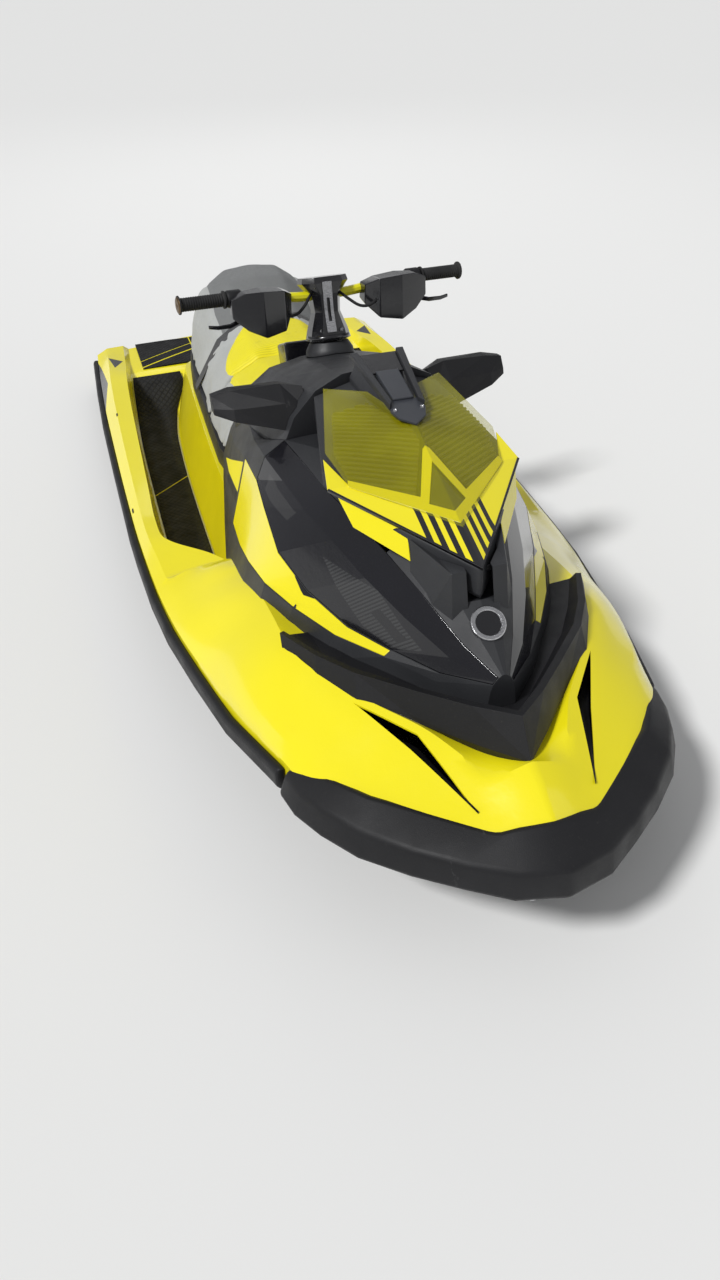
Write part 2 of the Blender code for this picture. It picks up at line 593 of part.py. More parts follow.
def box(name, one, other, colour=None, pivot=None):
    """A box between two opposite corners."""
    bm = bmesh.new()
    bmesh.ops.create_cube(bm, size=1)
    for vert in bm.verts:
        vert.co = Vector([min(one[k], other[k]) if vert.co[k] < 0 else max(one[k], other[k])
                          for k in range(3)])
    return add(name, mesh_of(bm, name), colour, pivot)


def turned(name, profile, place, direction, colour=None, steps=32, pivot=None):
    """A turned piece: a profile of radius and height, run round an axis through a place."""
    bm = bmesh.new()
    verts = [bm.verts.new((radius, 0, height)) for radius, height in profile]
    for a, b in zip(verts, verts[1:]):
        bm.edges.new((a, b))
    if profile[0][0] > 0:
        bm.edges.new((verts[-1], verts[0]))
    item = add(name, mesh_of(bm, name), colour, pivot)
    item.rotation_mode = "QUATERNION"
    item.rotation_quaternion = Vector((0, 0, 1)).rotation_difference(Vector(direction))
    item.location = Vector(place) - (pivot.location if pivot else Vector())
    modifier(item, "SCREW", steps=steps, render_steps=steps, use_merge_vertices=True, merge_threshold=MERGE)
    return item


def rod(name, start, end, radius, colour=None, pivot=None, steps=24):
    start, end = Vector(start), Vector(end)
    length = (end - start).length
    profile = [(0, length), (radius, length), (radius, 0), (0, 0)]
    return turned(name, profile, start, end - start, colour, steps, pivot)


def pipe(name, places, radius, colour, pivot=None, resolution=3):
    """A bent bar: a curve with a round section, made a mesh so that it can be cut."""
    curve = bpy.data.curves.new(name, "CURVE")
    curve.dimensions = "3D"
    curve.bevel_depth = radius
    curve.bevel_resolution = resolution
    curve.use_fill_caps = True
    line = curve.splines.new("POLY")
    line.points.add(len(places) - 1)
    for point, place in zip(line.points, places):
        point.co = (*place, 1)
    source = bpy.data.objects.new(name + "_line", curve)
    cutters.objects.link(source)
    bpy.context.view_layer.update()
    graph = bpy.context.evaluated_depsgraph_get()
    mesh = bpy.data.meshes.new_from_object(source.evaluated_get(graph))
    bpy.data.objects.remove(source, do_unlink=True)
    bm = bmesh.new()
    bm.from_mesh(mesh)
    bpy.data.meshes.remove(mesh)
    bmesh.ops.remove_doubles(bm, verts=bm.verts, dist=CLEAR / 10)
    bmesh.ops.recalc_face_normals(bm, faces=bm.faces)
    return add(name, mesh_of(bm, name), colour, pivot)


def smooth_path(places, steps):
    """A rounded path through a few places."""
    path = []
    for i in range(len(places) - 1):
        before, start, end = places[max(i - 1, 0)], places[i], places[i + 1]
        after = places[min(i + 2, len(places) - 1)]
        for k in range(steps):
            t = k / steps
            path.append(0.5 * (2 * start + (end - before) * t
                               + (2 * before - 5 * start + 4 * end - after) * t * t
                               + (3 * start - 3 * end + after - before) * t ** 3))
    path.append(places[-1])
    return path


def island(vert):
    """All the vertices that hang together with one."""
    found = {vert}
    edge = [vert]
    while edge:
        for link in edge.pop().link_edges:
            for other in link.verts:
                if other not in found:
                    found.add(other)
                    edge.append(other)
    return found


def drop_offcuts(item):
    """Keeps the largest body of a trimmed piece, and leaves out the offcuts beside it."""
    bm = evaluated_bmesh(item)
    bmesh.ops.remove_doubles(bm, verts=bm.verts, dist=CLEAR / 100)
    left = set(bm.verts)
    bodies = []
    while left:
        body = island(next(iter(left)))
        left -= body
        bodies.append(body)
    bodies.sort(key=len)
    for body in bodies[:-1]:
        bmesh.ops.delete(bm, geom=list(body), context="VERTS")
    bm.transform(item.matrix_world.inverted() @ craft.matrix_world)
    mesh = bpy.data.meshes.new(item.name)
    bm.to_mesh(mesh)
    bm.free()
    mesh.materials.append(item.data.materials[0])
    item.data = mesh
    item.modifiers.clear()
    return item


def row_at(table, station):
    """The table's row at a station, read between its rows."""
    if station <= table[0][0]:
        return table[0]
    for low, high in zip(table, table[1:]):
        if station <= high[0]:
            t = (station - low[0]) / (high[0] - low[0])
            return tuple(a + (b - a) * t for a, b in zip(low, high))
    return table[-1]


def lines_of(row, first):
    """The places in a row that holds pairs of buttock and level from a column on."""
    return [g(row[i], row[0], row[i + 1]) for i in range(first, len(row), 2)]


def stations_between(tables, start, end):
    found = {start, end}
    for table in tables:
        found.update(row[0] for row in table if start < row[0] < end)
    return sorted(found)


def edge_at(station):
    return row_at(EDGE_SHARES, station)[1:]


def hull_section(station):
    """Half a section, from the centre of the inner floor over the edge and down to the keel."""
    half, joint = edge_at(station)
    row = row_at(HULL_SHARES, station)
    floor, foot, keel = row[1:4]
    inside = [g(0, station, floor), g(foot, station, floor), g(half * WALL_TOP_SHARE, station, joint)]
    outside = lines_of(row, 4)
    return inside + [g(half, station, joint)] + outside[::-1] + [g(0, station, keel)]


def deck_section(station):
    """Half a section, from the centre of the underside out to the edge and back over the top; the
    underside is the hull's inner skin, moved off it by the gap."""
    under = hull_section(station)[:4]
    gap = Vector((-CLEAR, -CLEAR, CLEAR))
    places = [place + gap for place in under]
    places[0].x = 0
    places[-1].x = under[-1].x
    half, joint = edge_at(station)
    row = row_at(DECK_SHARES, station)
    places.append(g(half, station, joint + SHEER_SHARE))
    places += lines_of(row, 2)[::-1]
    places.append(g(0, station, row[1]))
    return places


def make_bumper():
    return half_sweep("bow_bumper", [[g(*place) for place in row] for row in BUMPER_SHARES], "black plastic")


def make_hull(bumper_room):
    stations = stations_between((EDGE_SHARES, HULL_SHARES, DECK_SHARES), BOW_SHARE, TRANSOM_SHARE)
    hull = half_loft("hull", [hull_section(s) for s in stations], "hull black")
    return drop_offcuts(cut(hull, bumper_room))


def make_deck(bumper_room):
    """The deck, with its stern cut off aslant on each side and capped."""
    stations = stations_between((EDGE_SHARES, HULL_SHARES, DECK_SHARES), BOW_SHARE, DECK_END_SHARE)
    bm = skin([deck_section(s) for s in stations], cap=True)
    centre = g(*STERN_CENTRE_SHARES)
    run = g(*STERN_CORNER_SHARES) - centre
    aft = Vector((-run.y, run.x, 0))
    halved = bmesh.ops.bisect_plane(bm, geom=bm.verts[:] + bm.edges[:] + bm.faces[:], plane_co=centre,
                                    plane_no=aft, clear_outer=True)
    rim = [e for e in halved["geom_cut"] if isinstance(e, bmesh.types.BMEdge)]
    ends = {v for e in rim for v in e.verts if abs(v.co.x) < CLEAR / 10}
    rim.append(bm.edges.new(sorted(ends, key=lambda v: v.co.z)))
    bmesh.ops.contextual_create(bm, geom=rim)
    bmesh.ops.recalc_face_normals(bm, faces=bm.faces)
    deck = turn_out(mirrored(add("deck", mesh_of(bm, "deck"), "acid yellow")))
    return drop_offcuts(cut(deck, bumper_room))


def make_rails():
    stations = stations_between((EDGE_SHARES,), RAIL_START_SHARE, RAIL_END_SHARE)
    for side, sign in (("port", 1), ("starboard", -1)):
        rows = []
        for station in stations:
            half, joint = edge_at(station)
            base = g(half, station, joint)
            rows.append([sided(base + Vector((CLEAR + out * RAIL_DEPTH, 0, up * RAIL_HALF_HEIGHT)), sign)
                         for out, up in RAIL_SHARES])
        solid("rub_rail_" + side, rows, "black plastic")


def make_gills(deck):
    for side, sign in (("port", 1), ("starboard", -1)):
        rows = [[sided(g(x, y, level), sign) for x, y in GILL_SHARES]
                for level in (GILL_TOP_SHARE, GILL_FLOOR_SHARE)]
        cut(deck, solid("gill_cut_" + side, rows, None))


def make_tray(deck_room):
    rows = []
    across, along = TRAY_UNDER_SCALE
    for row in TRAY_SHARES:
        foot, floor = row[0], row[-1]
        rows.append([g(*place) for place in row]
                    + [g(floor[0], floor[1], TRAY_UNDER_SHARE),
                       g(foot[0] * across, foot[1] * along, TRAY_UNDER_SHARE)])
    return cut(half_sweep("nose_tray", rows, "black plastic"), deck_room)


def patch(name, rows, sign, colour):
    """A body panel: a piece of a surface with a seam left free round it and its wall inwards."""
    bm = skin([[sided(p, sign) for p in row] for row in rows])
    bmesh.ops.inset_region(bm, faces=bm.faces[:], thickness=SEAM / 2, use_even_offset=True, use_boundary=True)
    edge = {v for e in bm.edges if e.is_boundary for v in e.verts}
    rim = [f for f in bm.faces if sum(v in edge for v in f.verts) >= 2]
    bmesh.ops.delete(bm, geom=rim, context="FACES")
    bmesh.ops.recalc_face_normals(bm, faces=bm.faces)
    facing = sum((f.normal * f.calc_area() for f in bm.faces), Vector())
    if facing.dot(Vector((sign, 0, 1))) < 0:
        bmesh.ops.reverse_faces(bm, faces=bm.faces[:])
    item = add(name, mesh_of(bm, name), colour)
    modifier(item, "SOLIDIFY", thickness=PANEL_THICKNESS, offset=-1, use_even_offset=True, use_rim=True)
    return item


def make_cowl(rooms):
    """The cowl's core, and each side's gloss, cheek and lower panels, top to bottom."""
    grid = [[g(0, row[0], row[1])] + lines_of(row, 2) for row in COWL_SHARES]
    sections = [places + [g(0, row[0], COWL_FLOOR_SHARE)] for places, row in zip(grid, COWL_SHARES)]
    core = half_loft("cowl_core", sections, "dark grey")
    panels = []
    for side, sign in (("port", 1), ("starboard", -1)):
        above = []
        for name, lines, stations, colour in (("side_panel_", slice(2, 5), slice(0, 8), "gloss black"),
                                              ("cheek_panel_", slice(4, 6), slice(2, 9), "acid yellow"),
                                              ("lower_panel_", slice(5, 7), slice(3, 11), "dark grey")):
            item = patch(name + side, [row[lines] for row in grid[stations]], sign, colour)
            panels.append(drop_offcuts(cut(item, *rooms, *above)))
            above = [grown(item)]
    hinge = g(*HINGE_SHARES)
    reach = Vector((HINGE_ROOM_HALF, 0, 0))
    hinge_room = rod("hinge_room", hinge - reach, hinge + reach, HINGE_ROOM)
    drop_offcuts(cut(core, hinge_room, *rooms, *[grown(p) for p in panels]))
    return core, panels


def make_console(rooms):
    sections = []
    for row in CONSOLE_SHARES:
        station, side = row[0], row[-2]
        sections.append([g(0, station, row[1])] + lines_of(row, 2)
                        + [g(side, station, CONSOLE_FOOT_SHARE), g(0, station, CONSOLE_FOOT_SHARE)])
    return cut(half_loft("console", sections, "dark grey"), *rooms)


def make_trim(core_room, console_room):
    edge, top = BADGE_RADIUS - BADGE_EDGE, BADGE_HEIGHT
    badge = turned("badge_disc", [(0, top), (edge, top), (BADGE_RADIUS, top - BADGE_EDGE),
                                  (BADGE_RADIUS, -BADGE_DEPTH), (0, -BADGE_DEPTH)],
                   g(*BADGE_SHARES), BADGE_FACING, "metal")
    cut(badge, core_room)
    size = Vector((GAUGE_WIDTH, GAUGE_DEPTH, GAUGE_HEIGHT))
    gauge = box("gauge", -size / 2, size / 2, "gloss black")
    gauge.location = g(*GAUGE_SHARES)
    gauge.rotation_euler = (GAUGE_TILT, 0, 0)
    cut(gauge, console_room)


def make_duct(hull):
    """The tunnel round the pump, the intake duct ahead of it and the shaft's hole into the bay."""
    tunnel = box("tunnel_cut", (-TUNNEL_WIDTH / 2, PUMP_START, -OVERRUN),
                 (TUNNEL_WIDTH / 2, TUNNEL_END, TUNNEL_ROOF))
    mouth = [Vector((x, y, -OVERRUN)) for x, y in (
        (-DUCT_WIDTH / 2, DUCT_START), (DUCT_WIDTH / 2, DUCT_START),
        (DUCT_WIDTH / 2, DUCT_END), (-DUCT_WIDTH / 2, DUCT_END))]
    throat = [Vector((x, PUMP_START + THROAT_OVERLAP, z)) for x, z in (
        (-THROAT_WIDTH / 2, THROAT_HIGH), (THROAT_WIDTH / 2, THROAT_HIGH),
        (THROAT_WIDTH / 2, THROAT_LOW), (-THROAT_WIDTH / 2, THROAT_LOW))]
    duct = solid("duct_cut", [mouth, throat], None)
    hole = rod("shaft_cut", (0, BAY_END - OVERRUN, PUMP_LEVEL), (0, PUMP_START, PUMP_LEVEL),
               SHAFT_RADIUS + RUNNING_GAP)
    return cut(hull, tunnel, duct, hole)


def make_pump(front):
    """The pump's barrel and cone, with a hub on five vanes that carries the impeller's shaft."""
    length = PUMP_END - PUMP_START
    barrel = BARREL_SHARE * length
    outer = PUMP_BORE + PUMP_WALL
    housing = turned("pump_housing", [
        (NOZZLE_INLET + NOZZLE_WALL, length), (outer, barrel), (outer, 0), (PUMP_BORE, 0),
        (PUMP_BORE, barrel), (NOZZLE_INLET, length)], front, (0, 1, 0), "metal", 48)
    bore = SHAFT_RADIUS + RUNNING_GAP
    end = STATOR_START + STATOR_LENGTH
    hub = turned("stator_hub", [
        (STATOR_TIP, STATOR_START + STATOR_TAIL), (HUB_RADIUS, end), (HUB_RADIUS, STATOR_START),
        (bore, STATOR_START), (bore, end), (STATOR_TIP, end + STATOR_TIP)], front, (0, 1, 0), steps=24)
    join(housing, hub)
    for i in range(VANE_COUNT):
        vane = box("vane_%d" % i,
                   (-VANE_THICKNESS / 2, front.y + STATOR_START + VANE_INSET, HUB_RADIUS - OVERLAP),
                   (VANE_THICKNESS / 2, front.y + end, PUMP_BORE + OVERLAP))
        vane.location = (0, 0, PUMP_LEVEL)
        vane.rotation_euler = (0, 2 * math.pi * i / VANE_COUNT, 0)
        join(housing, vane)
    return housing


def make_brackets(housing):
    """Ears above and below for the nozzle's pins, and a lug on each side for the gate's pins."""
    for sign in (1, -1):
        ear = box("nozzle_ear_%d" % sign,
                  (-EAR_WIDTH / 2, NOZZLE_PIVOT - EAR_START, PUMP_LEVEL + sign * EAR_LOW),
                  (EAR_WIDTH / 2, NOZZLE_PIVOT + EAR_REACH, PUMP_LEVEL + sign * EAR_HIGH))
        root = box("ear_root_%d" % sign,
                   (-EAR_WIDTH / 2, NOZZLE_PIVOT - EAR_ROOT_START,
                    PUMP_LEVEL + sign * (NOZZLE_INLET - OVERLAP)),
                   (EAR_WIDTH / 2, NOZZLE_PIVOT - EAR_ROOT_END, PUMP_LEVEL + sign * EAR_HIGH))
        hole = rod("ear_cut_%d" % sign, (0, NOZZLE_PIVOT, PUMP_LEVEL + sign * NOZZLE_INLET),
                   (0, NOZZLE_PIVOT, PUMP_LEVEL + sign * (EAR_HIGH + OVERRUN)), PIN_RADIUS + RUNNING_GAP)
        join(housing, ear, root)
        cut(housing, hole)
        foot = box("gate_lug_%d" % sign,
                   (sign * LUG_INNER, NOZZLE_PIVOT - LUG_START, PUMP_LEVEL - LUG_HALF_HEIGHT),
                   (sign * LUG_OUTER, NOZZLE_PIVOT - LUG_BEND, PUMP_LEVEL + LUG_HALF_HEIGHT))
        arm = box("lug_arm_%d" % sign,
                  (sign * LUG_FACE, NOZZLE_PIVOT - LUG_BEND - OVERLAP, PUMP_LEVEL - LUG_HALF_HEIGHT),
                  (sign * LUG_OUTER, NOZZLE_PIVOT + LUG_REACH, PUMP_LEVEL + LUG_HALF_HEIGHT))
        pin = rod("gate_pin_%d" % sign, (sign * (LUG_OUTER - OVERLAP), NOZZLE_PIVOT, PUMP_LEVEL),
                  (sign * GATE_PIN_END, NOZZLE_PIVOT, PUMP_LEVEL), GATE_PIN_RADIUS)
        join(housing, foot, arm, pin)


def make_nozzle(pivot):
    tail = Vector((0, NOZZLE_PIVOT - NOZZLE_LEAD, PUMP_LEVEL))
    nozzle = turned("nozzle", [
        (NOZZLE_OUTLET + NOZZLE_WALL, NOZZLE_LENGTH), (NOZZLE_MOUTH, NOZZLE_RIM), (NOZZLE_MOUTH, 0),
        (NOZZLE_MOUTH - NOZZLE_WALL, 0), (NOZZLE_MOUTH - NOZZLE_WALL, NOZZLE_RIM - NOZZLE_WALL),
        (NOZZLE_OUTLET, NOZZLE_LENGTH)], tail, (0, 1, 0), "black plastic", 40, pivot)
    for sign in (1, -1):
        join(nozzle, rod("nozzle_pin_%d" % sign,
                         (0, NOZZLE_PIVOT, PUMP_LEVEL + sign * (NOZZLE_MOUTH - OVERLAP)),
                         (0, NOZZLE_PIVOT, PUMP_LEVEL + sign * PIN_HEAD), PIN_RADIUS, None, pivot))


def make_gate(pivot):
    """The reverse gate: a curved bucket with an arm on each side, parked above the nozzle."""
    centre = Vector((0, NOZZLE_PIVOT, PUMP_LEVEL))
    outer = GATE_RADIUS + GATE_WALL
    rows = []
    for i in range(GATE_STEPS + 1):
        turn = GATE_START + GATE_SPAN * i / GATE_STEPS
        rows.append([centre + Vector((x, r * math.cos(turn), r * math.sin(turn))) for x, r in (
            (-GATE_HALF_WIDTH, GATE_RADIUS), (GATE_HALF_WIDTH, GATE_RADIUS),
            (GATE_HALF_WIDTH, outer), (-GATE_HALF_WIDTH, outer))])
    gate = solid("reverse_gate", rows, "black plastic", pivot)
    inner = GATE_HALF_WIDTH - GATE_WALL
    middle = GATE_RADIUS + GATE_WALL / 2
    corners = [(middle, GATE_START + GATE_SPAN * share) for share in (0, 1 / 3, 2 / 3, 1)]
    boss_start = GATE_START + GATE_SPAN + math.pi / 2
    corners += [(ARM_BOSS, boss_start + math.pi * k / (ARM_STEPS + 1)) for k in range(ARM_STEPS)]
    for sign in (1, -1):
        rows = [[centre + Vector((sign * x, r * math.cos(a), r * math.sin(a))) for r, a in corners]
                for x in (inner, GATE_HALF_WIDTH)]
        join(gate, solid("gate_arm_%d" % sign, rows, None))
        cut(gate, rod("gate_hole_%d" % sign, centre + Vector((sign * LUG_INNER, 0, 0)),
                      centre + Vector((sign * (GATE_PIN_END + OVERRUN), 0, 0)),
                      GATE_PIN_RADIUS + RUNNING_GAP))


def make_impeller(pivot, front):
    """A hub on its shaft, with blades that wind round it."""
    axis = Vector((0, 1, 0))
    start = front + axis * IMPELLER_START
    impeller = turned("impeller", [
        (0, SHAFT_TAIL), (SHAFT_RADIUS, SHAFT_TAIL), (SHAFT_RADIUS, HUB_LENGTH), (HUB_RADIUS, HUB_LENGTH),
        (HUB_RADIUS * HUB_NOSE_SHARE, 0), (SHAFT_RADIUS, 0), (SHAFT_RADIUS, -SHAFT_REACH),
        (0, -SHAFT_REACH)], start, axis, "metal", 24, pivot)
    root = HUB_RADIUS * BLADE_ROOT_SHARE
    tip = PUMP_BORE - IMPELLER_GAP
    rings, steps = 3, 6
    for i in range(BLADE_COUNT):
        rows = []
        for k in range(rings + 1):
            radius = root + (tip - root) * k / rings
            row = []
            for j in range(steps + 1):
                turn = 2 * math.pi * i / BLADE_COUNT + BLADE_TURN * j / steps
                along = BLADE_START + BLADE_LENGTH * j / steps
                row.append(start + Vector((radius * math.cos(turn), along, radius * math.sin(turn))))
            rows.append(row)
        blade = add("blade_%d" % i, mesh_of(skin(rows), "blade_%d" % i))
        modifier(blade, "SOLIDIFY", thickness=BLADE_THICKNESS, offset=0)
        join(impeller, blade)


def make_underside(hull_room):
    """Ride plate, intake grate, sponsons and bow eye, each trimmed to the hull."""
    rows = [[Vector((x * BUTTOCK, y, h * LEVEL)) for x, h in RIDE_SHARES] for y in (RIDE_START, RIDE_END)]
    cut(half_loft("ride_plate", rows, "dark grey"), hull_room)
    grate = box("intake_grate", (-GRATE_WIDTH / 2, GRATE_START, -GRATE_DEPTH),
                (GRATE_WIDTH / 2, PUMP_START - SEAM, GRATE_HEIGHT), "metal")
    cut(grate, hull_room)
    for i in range(GRATE_SLOTS):
        middle = (i - (GRATE_SLOTS - 1) / 2) * SLOT_PITCH
        cut(grate, box("grate_slot_%d" % i, (middle - SLOT_WIDTH / 2, DUCT_START, -OVERRUN),
                       (middle + SLOT_WIDTH / 2, SLOT_END, OVERRUN)))
    x, h = SPONSON_PLACE_SHARES
    for side, sign in (("port", 1), ("starboard", -1)):
        rows = [[sided(g(x + dx * scale, station, h + dh * scale), sign) for dx, dh in SPONSON_SECTION_SHARES]
                for station, scale in SPONSON_SHARES]
        drop_offcuts(cut(solid("sponson_" + side, rows, "black plastic"), hull_room))
    path = smooth_path([g(*place) for place in EYE_SHARES], 4)
    drop_offcuts(cut(pipe("bow_eye", path, EYE_RADIUS, "metal"), hull_room))


def seat_section(row):
    return [g(0, row[0], row[1])] + lines_of(row, 2) + [g(0, row[0], SEAT_FLOOR_SHARE)]


def make_seat(pivot, deck_room):
    front = [seat_section(row) for row in SEAT_SHARES if row[0] <= SEAT_SPLIT_SHARE]
    rear = [seat_section(row) for row in SEAT_SHARES if row[0] >= SEAT_SPLIT_SHARE]
    for place in rear[0]:
        place.y += CLEAR
    half_loft("seat_front", front, "acid yellow", pivot)
    cushion = half_loft("seat_rear", rear, "seat grey", pivot)
    top = SEAT_FLOOR_SHARE - CLEAR / LEVEL
    top_width, foot_width = SEAT_BASE_WIDTH_SHARES
    rows = [[g(0, station, top), g(top_width * narrow, station, top),
             g(foot_width * narrow, station, SEAT_BASE_FOOT_SHARE), g(0, station, SEAT_BASE_FOOT_SHARE)]
            for station, narrow in SEAT_BASE_SHARES]
    cut(half_loft("seat_base", rows, "dark grey", pivot), deck_room)
    rows = [seat_section(row_at(SEAT_SHARES, station))[:4] for station in STRAP_SHARES]
    strap = mirrored(add("seat_strap", mesh_of(skin(rows), "seat_strap"), "dark grey", pivot))
    modifier(strap, "SOLIDIFY", thickness=STRAP_THICKNESS, offset=0)
    drop_offcuts(cut(strap, grown(cushion)))


def make_hood(pivot, core, console):
    """Hood base with its hinge knuckle, yellow panel, visor and latch; the pin stays on the cowl."""
    drop, skirt = HOOD_DROP_SHARE, HOOD_SKIRT_SHARE
    sections = []
    for (_, middle, crown), (half, station, side) in HOOD_SHARES:
        sections.append([g(0, middle, crown - drop), g(half, station, side - drop),
                         g(half, station, side - drop - skirt), g(0, middle, crown - 2 * drop - skirt)])
    base = half_loft("hood_base", sections, "dark grey", pivot)
    hinge = g(*HINGE_SHARES)
    knuckle = box("hood_knuckle", hinge - Vector((KNUCKLE_HALF_WIDTH, KNUCKLE_RADIUS, KNUCKLE_RADIUS)),
                  hinge + Vector((KNUCKLE_HALF_WIDTH, KNUCKLE_RADIUS, KNUCKLE_HEIGHT)))
    cut(base, grown(core, MOVING_GAP), grown(console, MOVING_GAP))
    join(base, knuckle)
    reach = Vector((HINGE_PIN_REACH, 0, 0))
    cut(base, rod("hinge_bore", hinge - reach, hinge + reach, HINGE_PIN_RADIUS + RUNNING_GAP))

    bm = bmesh.new()
    bm.faces.new([bm.verts.new(g(*place)) for place in VISOR_SHARES])
    visor = mirrored(add("visor", mesh_of(bm, "visor"), "visor", pivot))
    modifier(visor, "SOLIDIFY", thickness=VISOR_THICKNESS, offset=-1, use_even_offset=True)

    rows = [[g(*place) for place in row] for row in HOOD_PANEL_SHARES]
    panel = mirrored(add("hood_panel", mesh_of(skin(rows), "hood_panel"), "acid yellow", pivot))
    modifier(panel, "SOLIDIFY", thickness=HOOD_PANEL_THICKNESS, offset=-1, use_even_offset=True)
    cut(panel, grown(visor))
    cut(base, grown(panel), grown(visor))

    edge, edge_drop, side_drop = LATCH_EDGE_SHARES
    rows = [[g(0, station, top), g(width * edge, station, top + edge_drop),
             g(width, station, top + side_drop), g(width, station, LATCH_FOOT_SHARE),
             g(0, station, LATCH_FOOT_SHARE)] for station, top, width in LATCH_SHARES]
    latch = half_loft("hood_latch", rows, "dark grey", pivot)
    drop_offcuts(cut(latch, grown(base), grown(visor, RUNNING_GAP + CLEAR)))

    pin = rod("hood_hinge", hinge - reach, hinge + reach, HINGE_PIN_RADIUS, "black plastic")
    for sign in (1, -1):
        join(pin, box("hinge_ear_%d" % sign,
                      hinge + Vector((sign * HINGE_EAR_START, -HINGE_EAR_HALF, -HINGE_EAR_DEPTH)),
                      hinge + Vector((sign * HINGE_EAR_END, HINGE_EAR_HALF, HINGE_EAR_HALF))))
    cut(pin, grown(core))


def make_column(pivot, console_room):
    """The fixed boot and the column that turns in it, leaning aft."""
    foot = g(*COLUMN_FOOT_SHARES)
    axis = (g(*COLUMN_HEAD_SHARES) - foot).normalized()
    aft = Vector((0, axis.z, -axis.y))
    (neck, top), (shoulder, middle), (flare, low) = BOOT_SHARES
    bore = STEM_RADIUS + RUNNING_GAP
    boot = turned("steering_boot", [
        (neck * BUTTOCK, top * LEVEL), (shoulder * BUTTOCK, middle * LEVEL), (flare * BUTTOCK, low * LEVEL),
        (bore, low * LEVEL), (bore, top * LEVEL)], foot, axis, "dark grey")
    cut(boot, console_room)
    rows = []
    for up, wide, fore, back in COLUMN_SHARES:
        level = foot + axis * up * LEVEL
        depths = (fore, fore, back, back)
        corners = [(wide * across, depth * share)
                   for (across, share), depth in zip(COLUMN_CORNER_SHARES, depths)]
        corners = [(0, fore)] + corners + [(0, back)]
        rows.append([level + Vector((x * BUTTOCK, 0, 0)) + aft * y * STATION for x, y in corners])
    column = half_loft("steering_column", rows, "gloss black", pivot)
    return join(column, rod("column_stem", foot + axis * STEM_START, foot + axis * STEM_END, STEM_RADIUS,
                            None, pivot, 32))


def make_handlebar(pivot, column):
    half = smooth_path([g(*place) for place in BAR_SHARES], 3)
    half[0].x = -BAR_HALF_LENGTH
    path = half + [sided(place, -1) for place in reversed(half[:-1])]
    pipe("handlebar", path, BAR_RADIUS, "acid yellow", pivot)
    bore = BAR_RADIUS + RUNNING_GAP
    bar_room = pipe("bar_room", path, bore, None, pivot)
    cut(column, bar_room)
    end = GRIP_LENGTH - GRIP_CAP
    profile = [(0, GRIP_LENGTH), (GRIP_FLANGE - GRIP_EDGE, GRIP_LENGTH), (GRIP_FLANGE, GRIP_LENGTH - GRIP_EDGE),
               (GRIP_FLANGE, end), (GRIP_RADIUS, end - GRIP_EDGE), (GRIP_RADIUS, GRIP_CAP + GRIP_EDGE),
               (GRIP_COLLAR, GRIP_CAP), (GRIP_COLLAR, 0), (bore, 0), (bore, end), (0, end)]
    for side, sign in (("port", 1), ("starboard", -1)):
        start = Vector((sign * (GRIP_END - GRIP_LENGTH), half[0].y, half[0].z))
        turned("grip_" + side, profile, start, (sign, 0, 0), "rubber", 24, pivot)
        rows = [[sided(g(x, y, h), sign) for y, h in ring] for x, ring in GUARD_SHARES]
        guard = solid("hand_guard_" + side, rows, "gloss black", pivot)
        lever_path = smooth_path([sided(g(*place), sign) for place in LEVER_SHARES], 3)
        lever = pipe("lever_" + side, lever_path, LEVER_RADIUS, "gloss black", pivot, 2)
        cut(lever, bar_room)
        cut(guard, bar_room, pipe("lever_room_" + side, lever_path, LEVER_ROOM, None, pivot, 2))


def make_mirrors(rooms):
    for side, sign in (("port", 1), ("starboard", -1)):
        rows = [[sided(g(x, y, h), sign) for y, h in ring] for x, ring in MIRROR_SHARES]
        mirror = drop_offcuts(cut(solid("mirror_" + side, rows, "black plastic"), *rooms, solver="MANIFOLD"))
        face = skin([[sided(g(*place), sign) for place in row] for row in MIRROR_GLASS_SHARES])
        glass = add("mirror_glass_" + side, mesh_of(face, "mirror_glass"), "mirror")
        modifier(glass, "SOLIDIFY", thickness=MIRROR_GLASS, offset=0)
        cut(glass, grown(mirror))


def lay_mat(name, bm, deck_room):
    """A mat on the deck: its underside from places just off the deck, its thickness upwards."""
    if sum(f.normal.z for f in bm.faces) < 0:
        bmesh.ops.reverse_faces(bm, faces=bm.faces[:])
    mat = add(name, mesh_of(bm, name), "rubber")
    if name == "rear_mat":
        mirrored(mat)
    modifier(mat, "SOLIDIFY", thickness=MAT_THICKNESS, offset=1)
    drop_offcuts(cut(mat, deck_room))


def make_mats(deck_room):
    up = Vector((0, 0, CLEAR))
    inward = Vector((MAT_MARGIN, 0, 0))
    stations = [row[0] for row in DECK_SHARES if MAT_START_SHARE < row[0] < MAT_END_SHARE]
    for side, sign in (("port", 1), ("starboard", -1)):
        rows = []
        for station in stations:
            foot, edge = lines_of(row_at(DECK_SHARES, station), 2)[1:3]
            rows.append([sided(foot + inward + up, sign), sided(edge - inward + up, sign)])
        lay_mat("footwell_mat_" + side, skin(rows), deck_room)
    rows = []
    for station in REAR_MAT_SHARES:
        row = row_at(DECK_SHARES, station)
        lines = lines_of(row, 2)
        edge = g(REAR_MAT_EDGE_SHARE, station, row[7])
        rows.append([place + up for place in [g(0, station, row[1])] + lines[:2] + [edge]])
    lay_mat("rear_mat", skin(rows), deck_room)


